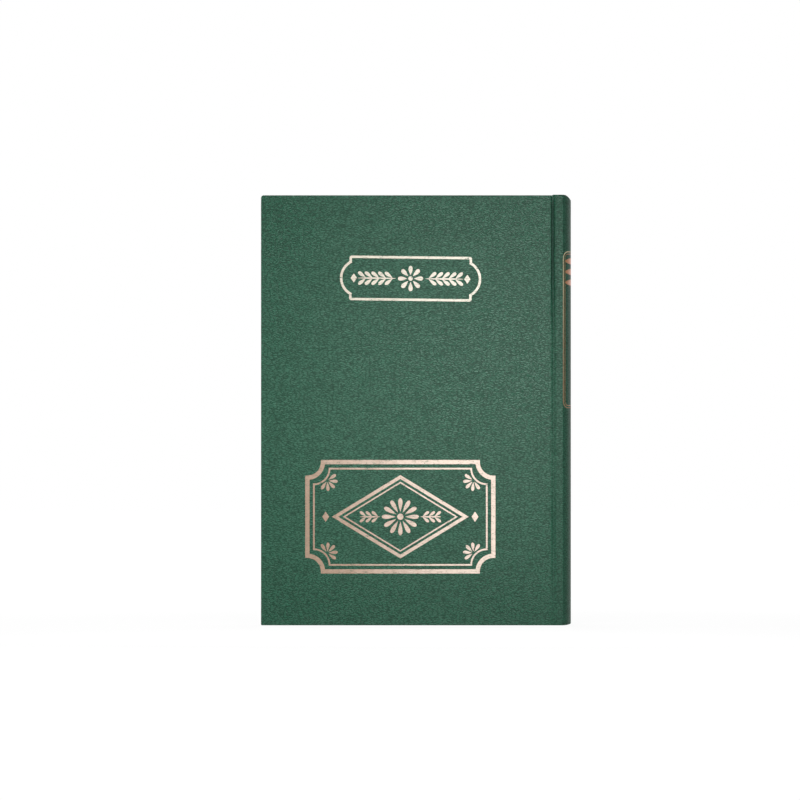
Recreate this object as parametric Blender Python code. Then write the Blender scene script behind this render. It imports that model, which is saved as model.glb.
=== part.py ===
"""Case-bound A4 accounts ledger, standing on its tail.

The front cover faces -Y and the spine is at +X. The book is built as a binder builds it: folded
sections sewn through their backs, rounded and backed, lined with mull and kraft paper, and hung in a
cloth case of two boards and a spine inlay. Units are metres, +Z is up, and the origin is at the middle
of the base.
"""

import math

import bmesh
import bpy
from mathutils import Vector

MM = 0.001

# Case
CASE_HEIGHT = 303.0 * MM
COVER_WIDTH = 204.7 * MM
GROOVE_WIDTH = 2.3 * MM
GROOVE_DEPTH = 1.1 * MM
SHOULDER_WIDTH = 5.7 * MM
SPINE_RISE = 5.9 * MM
SPINE_HEAD_LIFT = 0.4 * MM
BOARD_THICKNESS = 2.2 * MM
CLOTH_THICKNESS = 0.35 * MM
TURN_IN = 15.0 * MM
EDGE_ROUND = 0.7 * MM
HEAD_CORNER_RADIUS = 2.0 * MM
TAIL_CORNER_RADIUS = 0.8 * MM
INLAY_THICKNESS = 0.8 * MM
CAP_ROUND = 0.6 * MM
CAP_DIP_WIDTH = 5.2 * MM
CAP_DIP_POWER = 2.2
HEAD_CAP_DIP = 3.6 * MM
TAIL_CAP_DIP = 0.8 * MM

# Book block
SQUARE = 3.0 * MM
FORE_EDGE_HOLLOW = 4.0 * MM
SECTION_COUNT = 11
SECTION_THICKNESS = 1.3 * MM
LOOSE_LEAVES = 6
LEAF_THICKNESS = 0.12 * MM
ENDPAPER_THICKNESS = 0.15 * MM
FOLD_BULGE = 0.4 * MM
LEAVE_SHARE = 0.45
ARRIVE_SHARE = 0.40

# Spine linings, sewing and bands
HOLLOW_BACK = 0.4 * MM
KRAFT_THICKNESS = 0.2 * MM
KRAFT_MARGIN = 4.0 * MM
MULL_THICKNESS = 0.2 * MM
MULL_MARGIN = 16.0 * MM
MULL_WING = 25.0 * MM
THREAD_DIAMETER = 0.5 * MM
THREAD_STATIONS = 5
STATION_INSET = 8.0 * MM
BAND_RADIUS = 0.75 * MM
BAND_TAIL = 11.0 * MM

# Clearances
GLUE_LINE = 0.1 * MM
LEAF_GAP = 0.08 * MM
BEND_GAP = 0.3 * MM
HINGE_OUTSET = 0.15 * MM
LEAF_SETBACK = 2.0 * MM
JOINT_NIP = 0.4 * MM
LEAST_RADIUS = 0.05 * MM

# Facets
ARC_STEPS = 28
BEND_STEPS = 7
CORNER_STEPS = 5
FOLD_STEPS = 4
ROUND_STEPS = 3
BEAD_STEPS = 12
THREAD_SIDES = 6
SHARP_ANGLE = math.radians(35)

# Layers through one cover, counted inwards from its outer face
BOARD_FROM = CLOTH_THICKNESS + GLUE_LINE
BOARD_TO = BOARD_FROM + BOARD_THICKNESS
LINING_FROM = BOARD_TO + GLUE_LINE
CLOTH_TO = LINING_FROM + CLOTH_THICKNESS
PASTEDOWN_FROM = CLOTH_TO + GLUE_LINE
PASTEDOWN_TO = PASTEDOWN_FROM + ENDPAPER_THICKNESS

# Depths through the block, counted from its middle
SECTION_PITCH = SECTION_THICKNESS + LEAF_GAP
SEWN_HALF = SECTION_COUNT * SECTION_PITCH / 2
LEAF_PITCH = LEAF_THICKNESS + LEAF_GAP
BLOCK_HALF = SEWN_HALF + LOOSE_LEAVES * LEAF_PITCH + ENDPAPER_THICKNESS + LEAF_GAP
BOOK_HALF = BLOCK_HALF + PASTEDOWN_TO + GLUE_LINE

# Places along X, with the middle of the whole width at zero
BOOK_WIDTH = COVER_WIDTH + GROOVE_WIDTH + SHOULDER_WIDTH + SPINE_RISE
FORE_X = -BOOK_WIDTH / 2
COVER_X = FORE_X + COVER_WIDTH
GROOVE_X = COVER_X + GROOVE_WIDTH
CREASE_X = GROOVE_X + SHOULDER_WIDTH
APEX_X = CREASE_X + SPINE_RISE
HINGE_X = COVER_X + GROOVE_WIDTH / 2
LEAF_END_X = HINGE_X - LEAF_SETBACK
STUB_X = LEAF_END_X + BEND_GAP
WING_X = COVER_X - CLOTH_THICKNESS - JOINT_NIP - GLUE_LINE

# The spine's layers are arcs about one upright line
SPINE_RADIUS = (BOOK_HALF**2 + SPINE_RISE**2) / (2 * SPINE_RISE)
SPINE_CENTRE_X = APEX_X - SPINE_RADIUS
CREASE_ANGLE = math.asin(BOOK_HALF / SPINE_RADIUS)
INLAY_RADIUS = SPINE_RADIUS - CLOTH_THICKNESS - GLUE_LINE
CAP_RADIUS = INLAY_RADIUS - INLAY_THICKNESS - GLUE_LINE
KRAFT_RADIUS = CAP_RADIUS - CLOTH_THICKNESS - HOLLOW_BACK
MULL_RADIUS = KRAFT_RADIUS - KRAFT_THICKNESS - GLUE_LINE
THREAD_RADIUS = MULL_RADIUS - MULL_THICKNESS - GLUE_LINE - THREAD_DIAMETER / 2
FOLD_RADIUS = THREAD_RADIUS - THREAD_DIAMETER / 2 - GLUE_LINE - FOLD_BULGE

# Inside the joint cloth, where the linings and the outermost folds end
LINING_REACH = BOOK_HALF - CLOTH_THICKNESS - 2 * GLUE_LINE
FOLD_ANGLE = math.asin(LINING_REACH / (FOLD_RADIUS + FOLD_BULGE))

# Heights
SPINE_TOP = CASE_HEIGHT + SPINE_HEAD_LIFT
LEAF_BOTTOM = SQUARE
LEAF_TOP = CASE_HEIGHT - SQUARE

FRONT = -1
BACK = 1


def clear_scene():
    for old in list(bpy.data.objects):
        bpy.data.objects.remove(old, do_unlink=True)


def principled(name, colour, roughness):
    mat = bpy.data.materials.new(name)
    mat.use_nodes = True
    shader = mat.node_tree.nodes["Principled BSDF"]
    shader.inputs["Base Color"].default_value = (*colour, 1.0)
    shader.inputs["Roughness"].default_value = roughness
    shader.inputs["Metallic"].default_value = 0.0
    mat.diffuse_color = (*colour, 1.0)
    return mat


def finishes():
    return {
        "leatherette": principled("green_leatherette", (0.065, 0.130, 0.092), 0.55),
        "greyboard": principled("greyboard", (0.300, 0.280, 0.250), 0.90),
        "card": principled("spine_card", (0.420, 0.360, 0.270), 0.85),
        "kraft": principled("kraft_paper", (0.360, 0.220, 0.110), 0.85),
        "mull": principled("cotton_mull", (0.700, 0.670, 0.580), 0.95),
        "thread": principled("linen_thread", (0.800, 0.770, 0.680), 0.80),
        "band": principled("band_silk", (0.560, 0.080, 0.070), 0.60),
        "endpaper": principled("endpaper", (0.780, 0.760, 0.700), 0.80),
        "leaf": principled("ledger_paper", (0.860, 0.850, 0.800), 0.80),
    }


def hinge_empty(name, side):
    """Joint axis of one cover and of the leaves that turn with it."""
    empty = bpy.data.objects.new(name, None)
    empty.location = (HINGE_X, side * (BOOK_HALF + HINGE_OUTSET), 0.0)
    bpy.context.collection.objects.link(empty)
    return empty


def add_part(name, bm, mat, hinge=None):
    """Finish a solid as a named object, with its mesh about the hinge that carries it."""
    bmesh.ops.recalc_face_normals(bm, faces=bm.faces)
    if hinge:
        bmesh.ops.translate(bm, verts=bm.verts, vec=-Vector(hinge.location))
    mesh = bpy.data.meshes.new(name)
    bm.to_mesh(mesh)
    bm.free()
    mesh.materials.append(mat)
    mesh.shade_smooth()
    mesh.set_sharp_from_angle(angle=SHARP_ANGLE)
    part = bpy.data.objects.new(name, mesh)
    bpy.context.collection.objects.link(part)
    part.parent = hinge


def loft(loops):
    """Closed solid through loops of points, with a flat cap on the first and last."""
    bm = bmesh.new()
    rings = [[bm.verts.new(point) for point in loop] for loop in loops]
    for ring, after in zip(rings, rings[1:]):
        for i, vert in enumerate(ring):
            j = (i + 1) % len(ring)
            bm.faces.new((vert, ring[j], after[j], after[i]))
    bm.faces.new(rings[0])
    bm.faces.new(rings[-1])
    return bm


def upright_prism(outline, low, high):
    """Extrude an outline in X and Y from one height to another."""
    return loft([[(x, y, z) for x, y in outline] for z in (low, high)])


def cover_loops(levels, side):
    """Loops from outlines in X and Z, each at a depth inwards from a cover's outer face."""
    return [[(x, side * (BOOK_HALF - depth), z) for x, z in outline] for outline, depth in levels]


def slab(outline, side, depth_from, depth_to):
    """Extrude an outline in X and Z between two depths inwards from a cover's outer face."""
    return loft(cover_loops(((outline, depth_from), (outline, depth_to)), side))


def rectangle(left, right, low, high):
    return [(left, low), (right, low), (right, high), (left, high)]


def cover_outline(left, right, low, high, head_radius, tail_radius):
    """Board shape seen from the front: its two fore corners round, its two joint corners square."""
    points = [(right, low), (right, high)]
    corners = ((high - head_radius, head_radius, 90), (low + tail_radius, tail_radius, 180))
    for height, radius, start in corners:
        for i in range(CORNER_STEPS + 1):
            turn = math.radians(start + 90 * i / CORNER_STEPS)
            points.append((left + radius + radius * math.cos(turn), height + radius * math.sin(turn)))
    return points


def inset_outline(inset):
    """Outline of a layer of the cover that lies within the cloth by an inset all round."""
    head = max(HEAD_CORNER_RADIUS - inset, LEAST_RADIUS)
    tail = max(TAIL_CORNER_RADIUS - inset, LEAST_RADIUS)
    return cover_outline(FORE_X + inset, COVER_X - inset, inset, CASE_HEIGHT - inset, head, tail)


def window_outline():
    """Inner edge of the turn-ins."""
    right = COVER_X - CLOTH_THICKNESS - JOINT_NIP
    return cover_outline(FORE_X + TURN_IN, right, TURN_IN, CASE_HEIGHT - TURN_IN, LEAST_RADIUS, LEAST_RADIUS)


def rounded_edge_loops(start_depth, way):
    """Outlines that carry a face of the cloth round onto its edge."""
    loops = []
    for i in range(ROUND_STEPS + 1):
        turn = math.pi / 2 * i / ROUND_STEPS
        inset = EDGE_ROUND * (1 - math.sin(turn))
        depth = start_depth + way * EDGE_ROUND * (1 - math.cos(turn))
        loops.append((inset_outline(inset), depth))
    return loops


def build_cover_cloth(name, side, mat, hinge):
    """Cloth round the board: outer face, edges, turn-ins, and the pocket that the board lies in."""
    levels = rounded_edge_loops(0.0, 1) + rounded_edge_loops(CLOTH_TO, -1)[::-1]
    levels.append((window_outline(), CLOTH_TO))
    levels.append((window_outline(), LINING_FROM))
    levels.append((inset_outline(CLOTH_THICKNESS), LINING_FROM))
    levels.append((inset_outline(CLOTH_THICKNESS), CLOTH_THICKNESS))
    add_part(name, loft(cover_loops(levels, side)), mat, hinge)


def build_pastedown(name, side, mat, hinge):
    """Endpaper glued over the turn-ins, sunk to the board between them and the mull wing."""
    sheet = rectangle(FORE_X + SQUARE, COVER_X - GLUE_LINE, SQUARE, CASE_HEIGHT - SQUARE)
    edge = TURN_IN + GLUE_LINE
    sunk = rectangle(FORE_X + edge, WING_X - MULL_WING - GLUE_LINE, edge, CASE_HEIGHT - edge)
    levels = ((sheet, PASTEDOWN_TO), (sheet, PASTEDOWN_FROM), (sunk, PASTEDOWN_FROM), (sunk, LINING_FROM))
    add_part(name, loft(cover_loops(levels, side)), mat, hinge)


def build_cover(label, side, looks, hinge):
    build_cover_cloth(label + "_cover_cloth", side, looks["leatherette"], hinge)
    board = slab(inset_outline(BOARD_FROM), side, BOARD_FROM, BOARD_TO)
    add_part(label + "_board", board, looks["greyboard"], hinge)
    wing_low = TURN_IN + GLUE_LINE
    wing = rectangle(WING_X - MULL_WING, WING_X, wing_low, CASE_HEIGHT - wing_low)
    flap = slab(wing, side, LINING_FROM, LINING_FROM + MULL_THICKNESS)
    add_part(label + "_mull_wing", flap, looks["mull"], hinge)
    build_pastedown(label + "_pastedown", side, looks["endpaper"], hinge)


def joint_path(side):
    """Outer face of the joint cloth: down into the groove and up again to the shoulder."""
    path = []
    for i in range(ARC_STEPS // 2 + 1):
        across = BEND_GAP + (GROOVE_WIDTH - BEND_GAP) * 2 * i / ARC_STEPS
        dip = GROOVE_DEPTH * math.sin(math.pi * across / GROOVE_WIDTH) ** 2
        path.append((COVER_X + across, side * (BOOK_HALF - dip)))
    return path


def build_joint_cloth(name, side, mat):
    """Cloth across one joint, from the board's edge to the crease of the spine."""
    outer = joint_path(side)
    inner = [(x, y - side * CLOTH_THICKNESS) for x, y in outer]
    mitre = CREASE_ANGLE + GLUE_LINE / SPINE_RADIUS
    for points, level in ((outer, BOOK_HALF), (inner, BOOK_HALF - CLOTH_THICKNESS)):
        points.append((SPINE_CENTRE_X + level / math.tan(mitre), side * level))
    strip = upright_prism(outer + inner[::-1], 0.0, SPINE_TOP)
    add_part(name, strip, mat)


def on_arc(radius, turn, height):
    return (SPINE_CENTRE_X + radius * math.cos(turn), radius * math.sin(turn), height)


def arc_turns(reach):
    return [reach * (2 * i / ARC_STEPS - 1) for i in range(ARC_STEPS + 1)]


def cap_dip(turn, dip):
    """How far the cap of the spine falls away towards the middle of its round."""
    from_apex = SPINE_RADIUS * (1 - math.cos(turn))
    return dip * max(0.0, 1 - from_apex / CAP_DIP_WIDTH) ** CAP_DIP_POWER


def build_spine_cloth(mat):
    """Cloth over the spine, turned in over the inlay at head and tail."""
    inside = CAP_RADIUS - CLOTH_THICKNESS
    ease = CAP_ROUND * (1 - math.sqrt(0.5))
    loops = []
    for turn in arc_turns(CREASE_ANGLE):
        top = SPINE_TOP - cap_dip(turn, HEAD_CAP_DIP)
        low = cap_dip(turn, TAIL_CAP_DIP)
        profile = [
            (SPINE_RADIUS, low + CAP_ROUND),
            (SPINE_RADIUS, top - CAP_ROUND),
            (SPINE_RADIUS - ease, top - ease),
            (SPINE_RADIUS - CAP_ROUND, top),
            (inside, top),
            (inside, SPINE_TOP - TURN_IN),
            (CAP_RADIUS, SPINE_TOP - TURN_IN),
            (CAP_RADIUS, top - CLOTH_THICKNESS),
            (SPINE_RADIUS - CLOTH_THICKNESS, top - CLOTH_THICKNESS),
            (SPINE_RADIUS - CLOTH_THICKNESS, low + CLOTH_THICKNESS),
            (CAP_RADIUS, low + CLOTH_THICKNESS),
            (CAP_RADIUS, TURN_IN),
            (inside, TURN_IN),
            (inside, low),
            (SPINE_RADIUS - CAP_ROUND, low),
            (SPINE_RADIUS - ease, low + ease),
        ]
        loops.append([on_arc(radius, turn, height) for radius, height in profile])
    add_part("spine_cloth", loft(loops), mat)


def build_inlay(mat):
    """Card strip inside the cloth of the spine."""
    reach = math.asin((BOOK_HALF - BOARD_FROM) / INLAY_RADIUS) - GLUE_LINE / INLAY_RADIUS
    loops = []
    for turn in arc_turns(reach):
        top = SPINE_TOP - cap_dip(turn, HEAD_CAP_DIP) - BOARD_FROM
        low = cap_dip(turn, TAIL_CAP_DIP) + BOARD_FROM
        inner = INLAY_RADIUS - INLAY_THICKNESS
        profile = [(INLAY_RADIUS, low), (INLAY_RADIUS, top), (inner, top), (inner, low)]
        loops.append([on_arc(radius, turn, height) for radius, height in profile])
    add_part("spine_inlay", loft(loops), mat)


def build_lining(name, radius, thickness, low, high, mat):
    """Sheet glued round the back of the block, trimmed inside the joints."""
    inner = radius - thickness
    loops = []
    for turn in arc_turns(math.asin(LINING_REACH / radius)):
        profile = [(radius, low), (radius, high), (inner, high), (inner, low)]
        loops.append([on_arc(r, turn, z) for r, z in profile])
    add_part(name, loft(loops), mat)


def build_threads(mat):
    """Sewing thread that crosses the backs of the folds at each station under the mull."""
    lowest = LEAF_BOTTOM + MULL_MARGIN + STATION_INSET
    highest = LEAF_TOP - MULL_MARGIN - STATION_INSET
    reach = math.asin(LINING_REACH / (THREAD_RADIUS + THREAD_DIAMETER))
    for station in range(THREAD_STATIONS):
        height = lowest + (highest - lowest) * station / (THREAD_STATIONS - 1)
        loops = []
        for turn in arc_turns(reach):
            ring = []
            for side in range(THREAD_SIDES):
                way = 2 * math.pi * side / THREAD_SIDES
                radius = THREAD_RADIUS + THREAD_DIAMETER / 2 * math.cos(way)
                ring.append(on_arc(radius, turn, height + THREAD_DIAMETER / 2 * math.sin(way)))
            loops.append(ring)
        add_part("sewing_thread_%d" % (station + 1), loft(loops), mat)


def build_band(name, edge, way, mat):
    """Band on the head or tail of the back: a bead over the folds, with a tail glued to the back."""
    tail_from = MULL_RADIUS - MULL_THICKNESS
    bead = tail_from - BAND_RADIUS / 2
    level = edge + way * (GLUE_LINE + BAND_RADIUS)
    start = math.acos((MULL_RADIUS - bead) / BAND_RADIUS)
    stop = 2 * math.pi - math.acos((tail_from - bead) / BAND_RADIUS)
    profile = [(tail_from, edge - way * BAND_TAIL), (MULL_RADIUS, edge - way * BAND_TAIL)]
    for i in range(BEAD_STEPS + 1):
        turn = start + (stop - start) * i / BEAD_STEPS
        profile.append((bead + BAND_RADIUS * math.cos(turn), level + way * BAND_RADIUS * math.sin(turn)))
    loops = []
    for turn in arc_turns(math.asin(LINING_REACH / (bead + BAND_RADIUS))):
        loops.append([on_arc(radius, turn, height) for radius, height in profile])
    add_part(name, loft(loops), mat)


def fore_edge(depth):
    """The rounding of the back draws the fore edge into a hollow."""
    return FORE_X + SQUARE + FORE_EDGE_HOLLOW * (1 - (depth / BLOCK_HALF) ** 2)


def fold_turn(depth):
    return FOLD_ANGLE * depth / BLOCK_HALF


def backed_line(depth):
    """Bend of the paper at one depth, from the flat of the page out to its fold on the back."""
    turn = fold_turn(depth)
    outward = Vector((math.cos(turn), math.sin(turn)))
    start = Vector((STUB_X, depth))
    fold = Vector((SPINE_CENTRE_X, 0.0)) + FOLD_RADIUS * outward
    reach = (fold - start).length
    leave = start + Vector((LEAVE_SHARE * reach, 0.0))
    arrive = fold - ARRIVE_SHARE * reach * outward
    line = []
    for i in range(BEND_STEPS + 1):
        t = i / BEND_STEPS
        line.append(
            (1 - t) ** 3 * start + 3 * t * (1 - t) ** 2 * leave + 3 * t * t * (1 - t) * arrive + t**3 * fold
        )
    return [tuple(point) for point in line]


def folded_outline(depth_from, depth_to, start_from, start_to):
    """Cut through paper that is bound between two depths: flat, bent outwards, and round at the fold."""
    outline = [(start_from, depth_from)] + backed_line(depth_from)
    for i in range(1, FOLD_STEPS):
        share = i / FOLD_STEPS
        turn = fold_turn(depth_from + share * (depth_to - depth_from))
        radius = FOLD_RADIUS + FOLD_BULGE * math.sin(math.pi * share)
        outline.append(on_arc(radius, turn, 0.0)[:2])
    return outline + backed_line(depth_to)[::-1] + [(start_to, depth_to)]


def build_sections(mat):
    for index in range(SECTION_COUNT):
        middle = SECTION_PITCH * (index - (SECTION_COUNT - 1) / 2)
        low = middle - SECTION_THICKNESS / 2
        high = middle + SECTION_THICKNESS / 2
        outline = folded_outline(low, high, fore_edge(low), fore_edge(high))
        section = upright_prism(outline, LEAF_BOTTOM, LEAF_TOP)
        add_part("section_%02d" % (index + 1), section, mat)


def build_bound_margin(name, side, mat):
    """Bound margin of the loose leaves and the endpaper, which stays in the back when they turn."""
    low, high = sorted((side * (SEWN_HALF + LEAF_GAP / 2), side * BLOCK_HALF))
    outline = folded_outline(low, high, STUB_X - BEND_GAP / 2, STUB_X - BEND_GAP / 2)
    add_part(name, upright_prism(outline, LEAF_BOTTOM, LEAF_TOP), mat)


def build_leaf(name, side, near, thickness, mat, hinge):
    """One loose leaf, from its bend at the joint to the fore edge."""
    depths = (side * near, side * (near + thickness))
    left = fore_edge(near + thickness / 2)
    outline = [(left, depths[0]), (LEAF_END_X, depths[0]), (LEAF_END_X, depths[1]), (left, depths[1])]
    add_part(name, upright_prism(outline, LEAF_BOTTOM, LEAF_TOP), mat, hinge)


def build_loose_leaves(label, side, looks, hinge):
    flyleaf = BLOCK_HALF - ENDPAPER_THICKNESS
    build_leaf(label + "_flyleaf", side, flyleaf, ENDPAPER_THICKNESS, looks["endpaper"], hinge)
    for index in range(LOOSE_LEAVES):
        near = flyleaf - LEAF_PITCH * (index + 1)
        build_leaf("%s_leaf_%d" % (label, index + 1), side, near, LEAF_THICKNESS, looks["leaf"], hinge)


def build_ledger():
    clear_scene()
    looks = finishes()
    build_sections(looks["leaf"])
    build_threads(looks["thread"])
    mull_low = LEAF_BOTTOM + MULL_MARGIN
    mull_high = LEAF_TOP - MULL_MARGIN
    build_lining("mull", MULL_RADIUS, MULL_THICKNESS, mull_low, mull_high, looks["mull"])
    kraft_low = LEAF_BOTTOM + KRAFT_MARGIN
    kraft_high = LEAF_TOP - KRAFT_MARGIN
    build_lining("kraft_lining", KRAFT_RADIUS, KRAFT_THICKNESS, kraft_low, kraft_high, looks["kraft"])
    build_band("headband", LEAF_TOP, 1, looks["band"])
    build_band("tailband", LEAF_BOTTOM, -1, looks["band"])
    build_inlay(looks["card"])
    build_spine_cloth(looks["leatherette"])
    for label, side in (("front", FRONT), ("back", BACK)):
        hinge = hinge_empty(label + "_joint", side)
        build_joint_cloth(label + "_joint_cloth", side, looks["leatherette"])
        build_bound_margin(label + "_bound_margin", side, looks["leaf"])
        build_cover(label, side, looks, hinge)
        build_loose_leaves(label, side, looks, hinge)
    bpy.context.view_layer.update()


build_ledger()
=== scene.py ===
# %% [markdown]
# # A cloth-bound accounts ledger
#
# This lesson dresses the solid model of a bound ledger. The solids give every piece its true place and
# its joint; the cells below give them grain, foil, paper and thread. The book stands on its tail with
# the front cover towards -Y and the spine at +X, in metres.

import math

import bmesh
import bpy
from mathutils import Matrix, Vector


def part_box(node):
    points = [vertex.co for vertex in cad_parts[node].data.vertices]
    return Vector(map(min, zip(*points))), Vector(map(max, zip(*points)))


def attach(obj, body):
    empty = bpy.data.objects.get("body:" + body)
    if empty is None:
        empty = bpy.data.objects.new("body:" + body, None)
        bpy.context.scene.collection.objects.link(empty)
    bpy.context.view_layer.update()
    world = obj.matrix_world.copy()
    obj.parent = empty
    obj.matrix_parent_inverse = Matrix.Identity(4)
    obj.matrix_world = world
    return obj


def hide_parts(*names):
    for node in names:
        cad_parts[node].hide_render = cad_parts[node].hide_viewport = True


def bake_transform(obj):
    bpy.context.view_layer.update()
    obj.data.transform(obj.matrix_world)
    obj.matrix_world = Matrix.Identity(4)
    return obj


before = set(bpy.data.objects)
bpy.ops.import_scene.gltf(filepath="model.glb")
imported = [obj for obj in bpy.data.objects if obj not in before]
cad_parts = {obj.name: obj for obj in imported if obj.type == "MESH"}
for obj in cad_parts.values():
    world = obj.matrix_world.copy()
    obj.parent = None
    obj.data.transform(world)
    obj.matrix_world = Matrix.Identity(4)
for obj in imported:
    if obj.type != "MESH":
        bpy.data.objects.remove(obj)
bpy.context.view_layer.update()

# %% [markdown]
# ## Sizes
#
# A dressed model that drifts from its solids is no use to anyone, so the main places are read from the
# solids' own boxes. The few sizes that a box can't tell, such as the round of the spine, are the same
# numbers that the solid model was drawn with.

# %% Read the places from the solids
MM = 0.001

cover_low, cover_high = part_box("front_cover_cloth")
spine_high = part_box("spine_cloth")[1]
leaf_low, leaf_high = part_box("section_06")
flyleaf_low, flyleaf_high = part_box("front_flyleaf")

FORE_X = cover_low.x
COVER_X = cover_high.x
FACE = -cover_low.y
CASE_TOP = cover_high.z
SPINE_TOP = spine_high.z
APEX_X = spine_high.x
LEAF_BOTTOM = leaf_low.z
LEAF_TOP = leaf_high.z
LEAF_END_X = flyleaf_high.x

SPINE_RISE = 5.9 * MM
CREASE_X = APEX_X - SPINE_RISE
SPINE_RADIUS = (FACE**2 + SPINE_RISE**2) / (2 * SPINE_RISE)
SPINE_CENTRE_X = APEX_X - SPINE_RADIUS
CREASE_ANGLE = math.asin(FACE / SPINE_RADIUS)
CLOTH = 0.35 * MM
COVER_DEPTH = cover_high.y + FACE
SQUARE = 3.0 * MM
TURN_IN = 15.0 * MM
SIDES = (("front", -1), ("back", 1))

print("cover %.1f x %.1f mm, book %.1f mm thick" % ((COVER_X - FORE_X) / MM, CASE_TOP / MM, 2 * FACE / MM))

# %% [markdown]
# ## Joining nodes
#
# Materials and Geometry Nodes are both graphs. Building a graph by hand takes one line for each node and
# one for each link, which buries the idea, so this small helper lets a formula read as a formula. The
# same helper serves both kinds of graph, because their maths nodes are shared.


# %% A helper that wires nodes
class Wires:
    def __init__(self, tree):
        self.tree = tree

    def feed(self, socket, value):
        if isinstance(value, bpy.types.NodeSocket):
            self.tree.links.new(value, socket)
        elif value is not None:
            socket.default_value = value

    def add(self, kind, inputs=None, **settings):
        node = self.tree.nodes.new(kind)
        for key, value in settings.items():
            setattr(node, key, value)
        for key, value in (inputs or {}).items():
            self.feed(node.inputs[key], value)
        return node

    def operate(self, kind, operation, values):
        node = self.add(kind, operation=operation)
        for socket, value in zip(node.inputs, values):
            self.feed(socket, value)
        return node.outputs

    def math(self, operation, *values):
        return self.operate("ShaderNodeMath", operation, values)[0]

    def vector(self, operation, *values):
        return self.operate("ShaderNodeVectorMath", operation, values)

    def chain(self, operation, values):
        result = values[0]
        for value in values[1:]:
            result = self.math(operation, result, value)
        return result

    def total(self, *values):
        return self.chain("ADD", values)

    def product(self, *values):
        return self.chain("MULTIPLY", values)

    def xyz(self, x=0.0, y=0.0, z=0.0):
        return self.add("ShaderNodeCombineXYZ", {"X": x, "Y": y, "Z": z}).outputs[0]

    def split(self, vector):
        return self.add("ShaderNodeSeparateXYZ", {"Vector": vector}).outputs

    def scaled(self, vector, by):
        return self.vector("MULTIPLY", vector, by)["Vector"]

    def shifted(self, vector, by):
        return self.vector("ADD", vector, by)["Vector"]

    def noise(self, vector, scale, detail=2.0, roughness=0.5, output="Fac"):
        inputs = {"Vector": vector, "Scale": scale, "Detail": detail, "Roughness": roughness}
        return self.add("ShaderNodeTexNoise", inputs).outputs[output]

    def ramp(self, value, low, high, to_low=0.0, to_high=1.0):
        inputs = {"Value": value, "From Min": low, "From Max": high, "To Min": to_low, "To Max": to_high}
        return self.add("ShaderNodeMapRange", inputs, interpolation_type="SMOOTHSTEP").outputs[0]

    def mix(self, share, first, second):
        """A mix of two colours, whose sockets are told apart by number because they share their names."""
        return self.add("ShaderNodeMix", {0: share, 6: first, 7: second}, data_type="RGBA").outputs[2]


def new_group(name, kind, inputs, outputs):
    """An empty node group with named sockets, and the nodes that bring them in and take them out."""
    group = bpy.data.node_groups.new(name, kind)
    for label, socket_kind, value in inputs:
        socket = group.interface.new_socket(label, in_out="INPUT", socket_type=socket_kind)
        if value is not None:
            socket.default_value = value
    for label, socket_kind in outputs:
        group.interface.new_socket(label, in_out="OUTPUT", socket_type=socket_kind)
    wires = Wires(group)
    return group, wires, wires.add("NodeGroupInput").outputs, wires.add("NodeGroupOutput").inputs


FLOAT = "NodeSocketFloat"
VECTOR = "NodeSocketVector"
print("node helper ready")

# %% [markdown]
# ## Leather grain
#
# The cover is leatherette: a coated sheet embossed with a fine grain that runs sideways, in pebbles about
# three millimetres long and one high. Modelling each pebble would take millions of faces, so the grain is
# a bump with a change of tone. It is made once, as a node group, because the foil that is stamped on the
# cloth must show the same grain and lose its metal in the same hollows.

# %% Node group: leather grain
PEBBLE_EDGE = (-0.02, 0.26)
WARP_SCALE, WRINKLE_SCALE, CRACKLE_SCALE, PATCH_SCALE = 0.9, 1.1, 4.5, 70.0
WRINKLE_STRETCH = (0.6, 1.0, 1.25)
LAYER_SHARES = (0.5, 0.75, 0.3)
PATCH_SHARE = 0.22
TONE_RANGE = (0.52, 1.14)
HOLLOW_RANGE = (0.455, 0.535)
HALF_GREY = (-0.5, -0.5, -0.5)


def build_leather_grain():
    group, wires, given, result = new_group(
        "Leather grain",
        "ShaderNodeTree",
        [("Vector", VECTOR, None), ("Pebble", VECTOR, (340.0, 700.0, 1200.0)), ("Warp", FLOAT, 0.8)],
        [("Height", FLOAT), ("Tone", FLOAT), ("Hollow", FLOAT)],
    )
    place = wires.scaled(given["Vector"], given["Pebble"])
    bend = wires.shifted(wires.noise(place, WARP_SCALE, 1.0, output="Color"), HALF_GREY)
    place = wires.shifted(place, wires.scaled(bend, wires.xyz(*[given["Warp"]] * 3)))
    cell = wires.add("ShaderNodeTexVoronoi", {"Vector": place, "Scale": 1.0}, feature="DISTANCE_TO_EDGE")
    pebble = wires.ramp(cell.outputs["Distance"], *PEBBLE_EDGE)
    wrinkle = wires.noise(wires.scaled(place, WRINKLE_STRETCH), WRINKLE_SCALE, detail=3.0, roughness=0.6)
    crackle = wires.noise(place, CRACKLE_SCALE, detail=3.0, roughness=0.6)
    layers = zip((pebble, wrinkle, crackle), LAYER_SHARES)
    height = wires.total(*[wires.product(layer, share) for layer, share in layers])
    wires.feed(result["Height"], height)
    patch = wires.noise(given["Vector"], PATCH_SCALE)
    tone = wires.total(height, wires.product(wires.math("SUBTRACT", patch, 0.5), PATCH_SHARE))
    wires.feed(result["Tone"], wires.ramp(tone, *TONE_RANGE))
    wires.feed(result["Hollow"], wires.ramp(height, *HOLLOW_RANGE, 1.0, 0.0))
    return group


leather_grain = build_leather_grain()
print("group:", leather_grain.name)

# %% [markdown]
# ## Paper fibre and plain weave
#
# Every paper and board in the book has the same make-up at different scales: short fibres that scatter
# the tone a little and roughen the surface. One group gives that to the leaves, endpapers, kraft and
# greyboard. A second group crosses two sets of threads for the mull, the cores of the bands and the
# sewing thread.

# %% Node groups: paper fibre, plain weave
FIBRE_SHARE, CLOUD_SHARE = 0.6, 0.4
THREAD_EDGE = (0.35, 0.75)


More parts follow.
